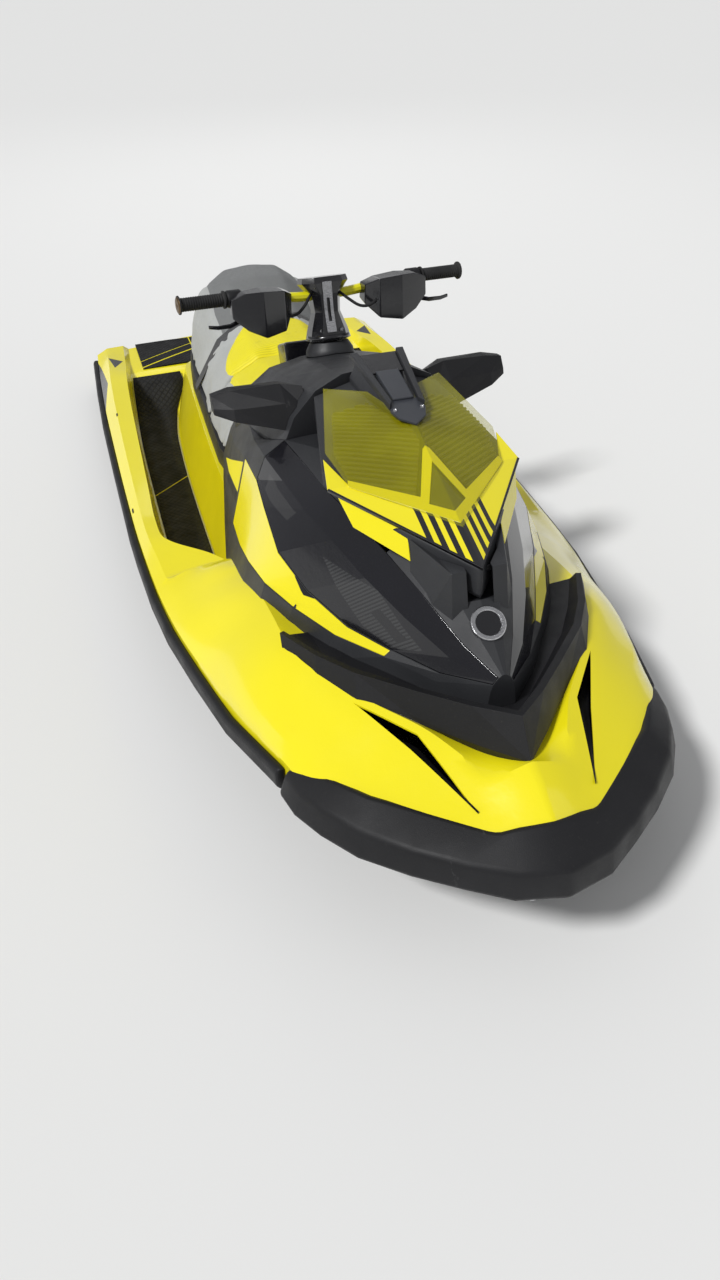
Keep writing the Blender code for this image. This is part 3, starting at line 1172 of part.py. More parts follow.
def main():
    global craft, parts, cutters
    clean_scene()
    parts = bpy.data.collections.new("personal_watercraft")
    cutters = bpy.data.collections.new("cutters")
    for group in (parts, cutters):
        bpy.context.scene.collection.children.link(group)
    make_materials()
    craft = empty("craft", (0, 0, -DRAFT))
    bpy.context.view_layer.update()

    bumper_room = grown(make_bumper())
    hull = make_hull(bumper_room)
    deck = make_deck(bumper_room)
    deck_room = grown(deck)
    make_rails()
    make_gills(deck)
    tray_room = grown(make_tray(deck_room))
    core, panels = make_cowl((deck_room, tray_room))
    core_room = grown(core)
    cut(core, box("bin_cut", (-BIN_WIDTH / 2, BIN_START, BIN_FLOOR), (BIN_WIDTH / 2, BIN_END, HEIGHT)))
    bay = box("bay_cut", (-BAY_WIDTH / 2, BAY_START, BAY_FLOOR), (BAY_WIDTH / 2, BAY_END, HEIGHT))
    cut(hull, bay)
    cut(deck, bay)
    box("engine_block", (-ENGINE_WIDTH / 2, ENGINE_START, BAY_FLOOR + CLEAR),
        (ENGINE_WIDTH / 2, ENGINE_START + ENGINE_LENGTH, BAY_FLOOR + ENGINE_HEIGHT), "engine")
    body_rooms = [core_room] + [grown(p) for p in panels]
    console = make_console(body_rooms)
    console_room = grown(console)
    make_trim(core_room, console_room)

    pivot_place = (0, NOZZLE_PIVOT, PUMP_LEVEL)
    column_foot = g(*COLUMN_FOOT_SHARES)
    column_axis = g(*COLUMN_HEAD_SHARES) - column_foot
    nozzle_pivot = empty("nozzle_pivot", pivot_place, craft, (0, 0, 1), NOZZLE_AT_REST)
    gate_pivot = empty("gate_pivot", pivot_place, craft)
    spin_pivot = empty("impeller_axis", (0, PUMP_START, PUMP_LEVEL), craft)
    hood_pivot = empty("hood_hinge_axis", g(*HINGE_SHARES), craft)
    seat_pivot = empty("seat_hinge_axis", g(*SEAT_HINGE_SHARES), craft)
    column_pivot = empty("steering_axis", column_foot, craft, column_axis.normalized(), STEER_AT_REST)

    front = Vector((0, PUMP_START + CLEAR, PUMP_LEVEL))
    drop_offcuts(make_duct(hull))
    make_brackets(make_pump(front))
    make_nozzle(nozzle_pivot)
    make_gate(gate_pivot)
    make_impeller(spin_pivot, front)
    make_underside(grown(hull))
    make_seat(seat_pivot, grown(deck))
    make_hood(hood_pivot, core, console)
    make_handlebar(column_pivot, make_column(column_pivot, console_room))
    make_mirrors([console_room] + body_rooms)
    make_mats(grown(deck))


main()
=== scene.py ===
# %% [markdown]
# # A personal watercraft, dressed for its portrait
#
# The imported CAD model is the frame: every node has its real size and place already. This script
# gives each surface the finish of the real craft and adds the trim that a CAD model leaves out.
# The frame is loaded first.

# %% Load the frame
import math

import bmesh
import bpy
import numpy as np
from mathutils import Matrix, Vector


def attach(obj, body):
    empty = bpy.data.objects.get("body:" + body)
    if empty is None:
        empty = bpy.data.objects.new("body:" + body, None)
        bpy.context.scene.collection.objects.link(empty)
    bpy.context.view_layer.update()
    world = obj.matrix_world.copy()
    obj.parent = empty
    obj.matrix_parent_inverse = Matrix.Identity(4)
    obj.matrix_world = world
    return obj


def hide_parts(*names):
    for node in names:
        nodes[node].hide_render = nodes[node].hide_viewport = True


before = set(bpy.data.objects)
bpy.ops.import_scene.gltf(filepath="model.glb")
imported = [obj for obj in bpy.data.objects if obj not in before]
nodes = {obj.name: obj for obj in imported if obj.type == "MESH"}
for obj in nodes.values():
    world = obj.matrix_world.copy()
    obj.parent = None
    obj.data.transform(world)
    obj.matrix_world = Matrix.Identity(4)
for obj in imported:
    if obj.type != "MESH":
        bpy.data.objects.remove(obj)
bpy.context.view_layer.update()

# %% [markdown]
# ## The camera
#
# The picture was taken from ahead of the starboard bow, looking down over the hood through a short
# lens held upright. The place and the three angles below put the bow, the stern and both ends of the
# handlebar where a picture from there has them. Building the camera's matrix from yaw, pitch and roll
# is exact, where aiming it at a point would lose the small roll of a hand-held picture.

# %% Camera
CAMERA_PLACE = Vector((-0.6655, -2.5515, 1.7234))
YAW, PITCH, ROLL = -0.29221, 0.68196, -0.01457
FRAME_HEIGHT = 1280
FOCAL_PIXELS = 969.2
SENSOR = 36
VIEW_DEPTH = 100


def aim_camera():
    ahead = Vector((-math.sin(YAW) * math.cos(PITCH), math.cos(YAW) * math.cos(PITCH), -math.sin(PITCH)))
    right = Vector((math.cos(YAW), math.sin(YAW), 0))
    up = right.cross(ahead)
    tilted_right = math.cos(ROLL) * right + math.sin(ROLL) * up
    tilted_up = -math.sin(ROLL) * right + math.cos(ROLL) * up
    camera = bpy.data.objects.new("camera", bpy.data.cameras.new("camera"))
    bpy.context.scene.collection.objects.link(camera)
    turn = Matrix((tilted_right, tilted_up, -ahead)).transposed().to_4x4()
    camera.matrix_world = Matrix.Translation(CAMERA_PLACE) @ turn
    camera.data.sensor_fit = "VERTICAL"
    camera.data.sensor_height = SENSOR
    camera.data.lens = FOCAL_PIXELS * SENSOR / FRAME_HEIGHT
    camera.data.clip_end = VIEW_DEPTH
    bpy.context.scene.camera = camera
    return camera


camera = aim_camera()
print("lens", round(camera.data.lens, 1), "mm")

# %% [markdown]
# ## Finishes
#
# Every finish is a small tree of nodes on a Principled shader. Four things make plastic look like
# plastic: a colour that wanders a little, a grain in its surface, a roughness that isn't even, and
# lighter scuffs where hands and ropes rub. One helper makes that tree, and each finish sets its own
# numbers, so the whole craft keeps one way of ageing.

# %% A tree of nodes in few words


class Tree:
    """A material's node tree, with a call for each kind of node that the finishes use."""

    def __init__(self, name):
        self.material = bpy.data.materials.new(name)
        self.material.use_nodes = True
        self.nodes = self.material.node_tree.nodes
        self.links = self.material.node_tree.links
        self.shader = self.nodes["Principled BSDF"]
        self.place = self.nodes.new("ShaderNodeTexCoord").outputs["Object"]

    def feed(self, socket, value):
        if isinstance(value, bpy.types.NodeSocket):
            self.links.new(value, socket)
        else:
            socket.default_value = value

    def node(self, kind, output, inputs):
        made = self.nodes.new("ShaderNode" + kind)
        for name, value in inputs.items():
            self.feed(made.inputs[name], value)
        return made.outputs[output]

    def moved(self, turn=(0, 0, 0), scale=(1, 1, 1)):
        return self.node("Mapping", "Vector", {"Vector": self.place, "Rotation": turn, "Scale": scale})

    def noise(self, scale, detail=3.0, rough=0.5, place=None):
        return self.node("TexNoise", "Fac", {"Vector": place or self.place, "Scale": scale,
                                             "Detail": detail, "Roughness": rough})

    def cells(self, scale):
        return self.node("TexVoronoi", "Distance", {"Vector": self.place, "Scale": scale})

    def sum(self, operation, a, b=0.0, c=0.0):
        made = self.nodes.new("ShaderNodeMath")
        made.operation = operation
        for socket, value in zip(made.inputs, (a, b, c)):
            self.feed(socket, value)
        return made.outputs[0]

    def axis(self, index, place=None):
        split = self.nodes.new("ShaderNodeSeparateXYZ")
        self.feed(split.inputs[0], place or self.place)
        return split.outputs[index]

    def band(self, value, low, high, soft=0.002):
        """1 where value lies between low and high, with soft edges."""
        rise = self.node("MapRange", "Result", {"Value": value, "From Min": low, "From Max": low + soft})
        fall = self.node("MapRange", "Result", {"Value": value, "From Min": high, "From Max": high + soft})
        return self.sum("SUBTRACT", rise, fall)

    def convex(self, a, b, corners, soft=0.0012):
        """1 inside a convex outline that runs counterclockwise in the coordinates a and b."""
        share = 1.0
        for (a0, b0), (a1, b1) in zip(corners, corners[1:] + corners[:1]):
            length = math.hypot(a1 - a0, b1 - b0)
            da, db = (a1 - a0) / length, (b1 - b0) / length
            depth = self.sum("MULTIPLY_ADD", a, -db, self.sum("MULTIPLY_ADD", b, da, db * a0 - da * b0))
            share = self.sum("MULTIPLY", share, self.ramp(depth, 0.0, soft))
        return share

    def ramp(self, value, low, high, start=0.0, end=1.0):
        return self.node("MapRange", "Result", {"Value": value, "From Min": low, "From Max": high,
                                                "To Min": start, "To Max": end})

    def mix(self, share, first, second):
        made = self.nodes.new("ShaderNodeMix")
        made.data_type = "RGBA"
        self.feed(made.inputs[0], share)
        self.feed(made.inputs[6], first if isinstance(first, bpy.types.NodeSocket) else (*first, 1))
        self.feed(made.inputs[7], second if isinstance(second, bpy.types.NodeSocket) else (*second, 1))
        return made.outputs[2]

    def bump(self, height, depth, strength=1.0, under=None):
        made = self.nodes.new("ShaderNodeBump")
        made.inputs["Strength"].default_value = strength
        made.inputs["Distance"].default_value = depth
        self.feed(made.inputs["Height"], height)
        if under is not None:
            self.links.new(under, made.inputs["Normal"])
        return made.outputs[0]

    def finish(self, colour=None, rough=None, normal=None, **settings):
        if colour is not None:
            self.feed(self.shader.inputs["Base Color"], colour)
        if rough is not None:
            self.feed(self.shader.inputs["Roughness"], rough)
        if normal is not None:
            self.links.new(normal, self.shader.inputs["Normal"])
        for name, value in settings.items():
            self.shader.inputs[name.replace("_", " ")].default_value = value
        return self.material


# %% [markdown]
# The moulded plastics come from one recipe: a colour with a slow drift, a fine grain, and thin pale
# scuffs that show where a stretched noise peaks. `graphics` lets a finish lay its own colours over
# the base before the scuffs, which is how the stripes of the hood and the side panels are made.

# %% Plastics and paints


def plastic(name, colour, rough, grain=(900, 0.0002), drift=0.12, scuff=None, scuffs=0.72, graphics=None,
            dust=0.0, **settings):
    tree = Tree(name)
    slow = tree.noise(2.3, 4)
    dark = tuple(c * (1 - drift) for c in colour)
    light = tuple(min(1, c * (1 + drift)) for c in colour)
    shade = tree.mix(tree.ramp(slow, 0.35, 0.65), dark, light)
    if graphics:
        shade = graphics(tree, shade)
    if dust:
        specks = tree.ramp(tree.noise(160, 6, 0.7), 0.60, 0.78, 0.0, dust)
        shade = tree.mix(specks, shade, (0.42, 0.39, 0.33))
    wear = None
    if scuff:
        streaks = tree.noise(7, 8, 0.72, tree.moved((0.3, 0.5, 0.4), (5, 0.8, 1.6)))
        wear = tree.ramp(streaks, scuffs, scuffs + 0.08, 0.0, 0.55)
        shade = tree.mix(wear, shade, scuff)
    fine = tree.noise(grain[0], 2, 0.6)
    even = tree.ramp(tree.noise(14, 5), 0.3, 0.7, rough * 0.85, min(1, rough * 1.2))
    if wear is not None:
        even = tree.sum("ADD", even, tree.sum("MULTIPLY", wear, 0.3))
    return tree.finish(shade, even, tree.bump(fine, grain[1]), **settings)


ACID_YELLOW = (0.87, 0.76, 0.008)
GELCOAT = dict(colour=ACID_YELLOW, rough=0.22, grain=(55, 0.00025), drift=0.035, dust=0.05, Coat_Weight=0.5,
               Coat_Roughness=0.06, Specular_IOR_Level=0.4)
GREY_MOULDING = dict(colour=(0.027, 0.028, 0.031), rough=0.46, grain=(800, 0.0003), drift=0.15,
                     scuff=(0.12, 0.12, 0.12), scuffs=0.70, dust=0.04, Specular_IOR_Level=0.36)
yellow = plastic("yellow_gelcoat", **GELCOAT)
satin_black = plastic("satin_black_moulding", (0.009, 0.009, 0.0105), 0.50, (650, 0.0004), 0.25,
                      (0.09, 0.09, 0.09), 0.66, dust=0.05, Specular_IOR_Level=0.32)
dark_grey = plastic("dark_grey_moulding", **GREY_MOULDING)
hull_black = plastic("black_gelcoat", (0.010, 0.010, 0.012), 0.20, (60, 0.0002), 0.2, (0.07, 0.07, 0.07),
                     0.74, Coat_Weight=0.5, Coat_Roughness=0.1)
engine_grey = plastic("engine_paint", (0.19, 0.19, 0.20), 0.5, (120, 0.0006), 0.1, (0.05, 0.045, 0.04), 0.6)
bar_yellow = plastic("bar_powder_coat", (0.80, 0.74, 0.01), 0.34, (1500, 0.0001), 0.05)


# %% [markdown]
# The gloss black side panels carry metal flake, which glints as fine specks, and a broad grey
# graphic: two bars and a field of fine hatching at the front. They have straight outlines in side
# view, so they are found from the length and the height of each point.

# %% Gloss black with flake and slanted graphics


HATCH = ((-0.847, 0.535), (-1.017, 0.544), (-1.160, 0.479), (-1.095, 0.451), (-1.012, 0.457), (-0.951, 0.484))
BAR_AFT = ((-0.530, 0.577), (-0.715, 0.572), (-0.700, 0.546), (-0.550, 0.548))
BAR_FORE = ((-1.035, 0.512), (-1.120, 0.487), (-1.105, 0.468), (-1.020, 0.492))
HATCH_LEAN, HATCH_LINES = 0.9, 95.0
FIELD_BLACK, LINE_GREY = (0.012, 0.012, 0.014), (0.032, 0.033, 0.035)
AFT_GREY, FORE_BLACK = (0.026, 0.026, 0.028), (0.010, 0.010, 0.012)
FLAKE_SCALE, FLAKE_SILVER = 700, (0.55, 0.56, 0.60)


def slanted_bars(tree, base):
    along, up = tree.axis(1), tree.axis(2)
    slant = tree.sum("ADD", along, tree.sum("MULTIPLY", up, HATCH_LEAN))
    hatch = tree.band(tree.sum("FRACT", tree.sum("MULTIPLY", slant, HATCH_LINES)), 0.35, 0.85, 0.08)
    field = tree.convex(along, up, HATCH)
    shade = tree.mix(field, base, FIELD_BLACK)
    shade = tree.mix(tree.sum("MULTIPLY", field, hatch), shade, LINE_GREY)
    shade = tree.mix(tree.convex(along, up, BAR_AFT), shade, AFT_GREY)
    shade = tree.mix(tree.convex(along, up, BAR_FORE), shade, FORE_BLACK)
    flake = tree.ramp(tree.cells(FLAKE_SCALE), 0.0, 0.13, 0.22, 0.0)
    return tree.mix(flake, shade, FLAKE_SILVER)


flaked_black = plastic("gloss_black_flake", (0.006, 0.006, 0.009), 0.16, (60, 0.0002), 0.2,
                       graphics=slanted_bars, dust=0.03, Coat_Weight=0.5, Coat_Roughness=0.05,
                       Specular_IOR_Level=0.35)
gloss_black = plastic("gloss_black", (0.006, 0.006, 0.008), 0.22, (70, 0.0002), 0.2, (0.08, 0.08, 0.08),
                      0.70, dust=0.03, Coat_Weight=0.6, Coat_Roughness=0.08)

# %% [markdown]
# The decals are plain fields of colour: a yellow flash over a black bar on each flank of the cowl, a
# black wedge on each cheek panel, and a black field and an arrowhead at each corner of the stern. Each
# is a convex outline in side view or from above, so a product of half-planes gives it.

# %% Plain decals
FLASH = ((0.0, 0.3525), (-0.335, 0.512), (-0.335, 0.4265))
FLASH_BAR = ((-0.13, 0.377), (-0.335, 0.4235), (-0.335, 0.397), (-0.13, 0.3585))
CHEEK_WEDGE = ((-0.785, 0.472), (-0.905, 0.453), (-0.845, 0.438))
STERN_FIELD = ((0.80, 0.10), (1.40, 0.10), (1.40, 0.125), (1.05, 0.172), (0.80, 0.140))
STERN_ARROW = ((0.540, 1.321), (0.486, 1.267), (0.525, 1.180))
DECAL_BLACK = (0.007, 0.007, 0.009)
FLANK_OUT, STERN_OUT, FAR_OUT = 0.2, 0.548, 9.0


def flank_flash(tree, base):
    out, along, up = tree.sum("ABSOLUTE", tree.axis(0)), tree.axis(1), tree.axis(2)
    flank = tree.band(out, FLANK_OUT, FAR_OUT)
    shade = tree.mix(tree.sum("MULTIPLY", flank, tree.convex(along, up, FLASH)), base, ACID_YELLOW)
    return tree.mix(tree.sum("MULTIPLY", flank, tree.convex(along, up, FLASH_BAR)), shade, DECAL_BLACK)


def cheek_wedge(tree, base):
    return tree.mix(tree.convex(tree.axis(1), tree.axis(2), CHEEK_WEDGE), base, DECAL_BLACK)


def stern_marks(tree, base):
    out, along = tree.sum("ABSOLUTE", tree.axis(0)), tree.axis(1)
    corner = tree.band(out, STERN_OUT, FAR_OUT)
    field = tree.sum("MULTIPLY", corner, tree.convex(along, tree.axis(2), STERN_FIELD))
    return tree.mix(tree.sum("MAXIMUM", field, tree.convex(out, along, STERN_ARROW)), base, DECAL_BLACK)


cheek_yellow = plastic("cheek_gelcoat", graphics=cheek_wedge, **GELCOAT)
deck_yellow = plastic("deck_gelcoat", graphics=stern_marks, **GELCOAT)
flank_grey = plastic("flank_moulding", graphics=flank_flash, **GREY_MOULDING)
print("decals laid on", [finish.name for finish in (cheek_yellow, deck_yellow, flank_grey)])

# %% [markdown]
# The hood's yellow panel is striped fore and aft on both sides of its crease. The stripes keep a
# constant distance from the centreline, so the absolute value of x, cut into equal steps, gives them.

# %% Hood stripes
STRIPE_PITCH = 0.0208
STRIPE_BLACK = 0.0108
STRIPES_END = 0.0735
STRIPE_SOFT, STRIPE_SHADE = 0.0002, (0.008, 0.008, 0.010)


def hood_stripes(tree, base):
    out = tree.sum("ABSOLUTE", tree.axis(0))
    step = tree.sum("MODULO", out, STRIPE_PITCH)
    black = tree.sum("MULTIPLY", tree.band(step, -1.0, STRIPE_BLACK, STRIPE_SOFT),
                     tree.band(out, -1.0, STRIPES_END, STRIPE_SOFT))
    return tree.mix(black, base, STRIPE_SHADE)


striped_yellow = plastic("striped_yellow_gelcoat", ACID_YELLOW, 0.22, (55, 0.00025), 0.035, dust=0.04,
                         graphics=hood_stripes, Coat_Weight=0.8, Coat_Roughness=0.06)
print("plastics:", len(bpy.data.materials))

# %% [markdown]
# ## Clear, soft and metal finishes
#
# The visor is a tinted sheet, so it lets the ribs under it show: most of the light passes it and the
# rest comes back yellow, with a hard coat for the glint. Vinyl has a pebbled grain of small cells,
# rubber is rougher still, and cast metal has a sandy bump under a sharp reflection.

# %% Visor, vinyl, rubber, cloth and metal


def tinted_visor():
    tree = Tree("tinted_visor")
    drift = tree.mix(tree.ramp(tree.noise(6, 3), 0.4, 0.65), (0.40, 0.37, 0.003), (0.52, 0.49, 0.004))
    dirt = tree.ramp(tree.noise(260, 5, 0.75), 0.64, 0.76, 0.0, 0.5)
    shade = tree.mix(dirt, drift, (0.62, 0.58, 0.22))
    clear = tree.ramp(tree.noise(3.0, 2), 0.3, 0.7, 0.25, 0.33)
    tree.feed(tree.shader.inputs["Alpha"], clear)
    even = tree.ramp(tree.noise(30, 5), 0.4, 0.7, 0.05, 0.16)
    return tree.finish(shade, even, Coat_Weight=1.0, Coat_Roughness=0.03)


PADS = 62.0
PAD_SHARE, PAD_SOFT = 0.74, 0.1
PAD_GROOVE_SHADE = (0.004, 0.004, 0.0044)


def rubber_finish(name, lines=None):
    """Dusty rubber, or with lines a foam mat of small square pads with those lines on it and painted shade in
    its grooves.
    """
    tree = Tree(name)
    shade = tree.mix(tree.ramp(tree.noise(9, 6), 0.35, 0.7), (0.010, 0.010, 0.011), (0.030, 0.030, 0.030))
    dust = tree.ramp(tree.noise(70, 8, 0.75), 0.58, 0.8, 0.0, 0.22)
    shade = tree.mix(dust, shade, (0.16, 0.145, 0.12))
    normal = tree.bump(tree.noise(900, 2), 0.0004)
    if lines:
        turned = tree.moved((0, 0, math.radians(45)))
        steps = [tree.sum("FRACT", tree.sum("MULTIPLY", tree.axis(i, turned), PADS)) for i in (0, 1)]
        pad = tree.sum("MULTIPLY", *(tree.band(step, 0.0, PAD_SHARE, PAD_SOFT) for step in steps))
        # Painted shade: the grooves between the pads are darkened to near black.
        shade = tree.mix(tree.sum("MULTIPLY", pad, 0.5), PAD_GROOVE_SHADE, shade)
        normal = tree.bump(pad, 0.0018, 0.8, normal)
        shade = lines(tree, shade)
    even = tree.ramp(tree.noise(25, 5), 0.3, 0.7, 0.62, 0.9)
    return tree.finish(shade, even, normal, Specular_IOR_Level=0.35)


LINE_WIDTH, LINE_SOFT = 0.004, 0.001
MAT_LEAN, MAT_LINES = 0.8, (0.14, 0.82)
CHEVRON_LEAN, CHEVRON_LINES = 0.55, ((1.455, 1.463), (1.52, 1.524))
CHEVRON_OUT, CHEVRON_END = 0.19, 2.0


def mat_lines(tree, shade):
    """Thin yellow dividing lines across the footwell mat."""
    lean = tree.sum("ADD", tree.axis(1), tree.sum("MULTIPLY", tree.sum("ABSOLUTE", tree.axis(0)), MAT_LEAN))
    line = tree.sum("MAXIMUM", *(tree.band(lean, at, at + LINE_WIDTH, LINE_SOFT) for at in MAT_LINES))
    return tree.mix(line, shade, ACID_YELLOW)


def chevron_lines(tree, shade):
    """Yellow chevron outlines on the rear platform's mat."""
    out = tree.sum("ABSOLUTE", tree.axis(0))
    lean = tree.sum("ADD", tree.axis(1), tree.sum("MULTIPLY", out, CHEVRON_LEAN))
    line = tree.sum("MAXIMUM", *(tree.band(lean, start, end, LINE_SOFT) for start, end in CHEVRON_LINES))
    edge = tree.sum("MULTIPLY", tree.band(out, CHEVRON_OUT, CHEVRON_OUT + LINE_WIDTH, LINE_SOFT),
                    tree.band(lean, CHEVRON_LINES[0][1], CHEVRON_END, LINE_SOFT))
    return tree.mix(tree.sum("MAXIMUM", line, edge), shade, ACID_YELLOW)


grip_rubber = rubber_finish("grip_rubber")
footwell_foam = rubber_finish("footwell_foam", mat_lines)
platform_foam = rubber_finish("platform_foam", chevron_lines)


def webbing():
    tree = Tree("strap_webbing")
    weave = tree.node("TexWave", "Fac", {"Vector": tree.place, "Scale": 260.0, "Distortion": 0.6})
    shade = tree.mix(weave, (0.018, 0.018, 0.020), (0.050, 0.050, 0.054))
    return tree.finish(shade, tree.ramp(weave, 0, 1, 0.7, 0.9), tree.bump(weave, 0.0006), Sheen_Weight=0.3)


def metal(name, colour, rough, grain, brushed=False):
    tree = Tree(name)
    place = tree.moved(scale=(1, 1, 30)) if brushed else tree.place
    drift = tree.noise(grain, 5, 0.65, place)
    shade = tree.mix(tree.ramp(drift, 0.3, 0.75), tuple(c * 0.75 for c in colour), colour)
    stain = tree.ramp(tree.noise(22, 7, 0.7), 0.58, 0.75, 0.0, 0.45)
    shade = tree.mix(stain, shade, tuple(c * 0.35 for c in colour))
    even = tree.ramp(drift, 0.2, 0.8, rough * 0.7, rough * 1.4)
    return tree.finish(shade, even, tree.bump(drift, 0.0003), Metallic=1.0)


def mirror_glass():
    tree = Tree("mirror_glass")
    haze = tree.ramp(tree.noise(45, 6, 0.7), 0.5, 0.85, 0.02, 0.22)
    shade = tree.mix(tree.ramp(tree.noise(8, 4), 0.3, 0.7), (0.66, 0.68, 0.70), (0.76, 0.78, 0.80))
    return tree.finish(shade, haze, Metallic=1.0)


def gauge_glass():
    tree = Tree("gauge_glass")
    glare = tree.ramp(tree.noise(9, 3), 0.4, 0.6)
    shade = tree.mix(glare, (0.10, 0.10, 0.10), (0.30, 0.29, 0.27))
    return tree.finish(shade, tree.ramp(tree.noise(60, 4), 0.3, 0.7, 0.08, 0.2), Coat_Weight=1.0)


visor_tint = tinted_visor()
strap_cloth = webbing()
cast_alloy = metal("cast_alloy", (0.52, 0.52, 0.53), 0.42, 180)
bright_steel = metal("bright_steel", (0.66, 0.66, 0.68), 0.24, 90, True)
worn_bronze = metal("worn_bronze", (0.20, 0.135, 0.075), 0.38, 90)
silver_glass = mirror_glass()
dial_glass = gauge_glass()
print("finishes:", len(bpy.data.materials))

# %% [markdown]
# ## From CAD solid to moulded part
#
# The CAD solids have knife edges. A real moulding has a small radius on every edge, and that radius
# is what catches the light, so it matters more than any texture. Each rigid node is copied, its
# triangles are joined back to flat faces, and a Bevel rounds every edge sharper than a set angle.
# Weighted normals keep the flat faces flat beside the rounded edges.

# %% Copy, join and round a CAD node
FLAT = math.radians(0.6)
ROUND_ABOVE = math.radians(24)
ROUND_STEPS = 2
WELD, FINE_WELD = 1e-4, 1e-5


def read_node(name):
    bm = bmesh.new()
    bm.from_mesh(nodes[name].data)
    bmesh.ops.remove_doubles(bm, verts=bm.verts, dist=FINE_WELD)
    return bm


def joined(bm):
    bmesh.ops.dissolve_limit(bm, angle_limit=FLAT, verts=bm.verts, edges=bm.edges)
    return bm


def piece(name, bm, finish, body="root", stands_for=(), smooth=True, outward=True):
    """A finished mesh object, riding on a body, in place of the CAD nodes that it stands for."""
    if outward:
        bmesh.ops.recalc_face_normals(bm, faces=bm.faces)
    mesh = bpy.data.meshes.new(name)
    for face in bm.faces:
        face.smooth = smooth
    bm.to_mesh(mesh)
    bm.free()
    item = bpy.data.objects.new(name, mesh)
    bpy.context.scene.collection.objects.link(item)
    for each in finish if isinstance(finish, (list, tuple)) else [finish]:
        mesh.materials.append(each)
    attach(item, body)
    if stands_for:
        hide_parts(*([stands_for] if isinstance(stands_for, str) else stands_for))
    return item


def rounded(item, radius, above=ROUND_ABOVE):
    soft = item.modifiers.new("round edges", "BEVEL")
    soft.width = radius
    soft.segments = ROUND_STEPS
    soft.limit_method = "ANGLE"
    soft.angle_limit = above
    soft.use_clamp_overlap = True
    soft.miter_outer = "MITER_ARC"
    item.modifiers.new("flat faces", "WEIGHTED_NORMAL").keep_sharp = True
    return item


def faired(item, levels):
    fair = item.modifiers.new("fair", "SUBSURF")
    fair.levels = fair.render_levels = levels
    return item


def walled(item, thickness, offset=-1, even=False):
    wall = item.modifiers.new("wall", "SOLIDIFY")
    wall.thickness, wall.offset, wall.use_even_offset = thickness, offset, even
    return item


def moulded(name, finish, body, radius, above):
    item = piece(name + "_finished", joined(read_node(name)), finish, body, name, outward=False)
    return rounded(item, radius, above)


print("edges over", round(math.degrees(ROUND_ABOVE)), "degrees are rounded in", ROUND_STEPS, "steps")


# %% [markdown]
# ## The deck
#
# The deck is one moulding: bow panels that rise to a crease, gunwales, footwells, the pedestal under
# the seat and the low platform at the stern. A shipwright draws such a shape as sections along the
# length. The table holds them in decimetres, and a curve that never overshoots is run through each
# column, so new sections between the drawn ones are fair. The half skin is bridged section by
# section, mirrored, given a gelcoat shell's thickness, and cut for the gills and the engine bay.

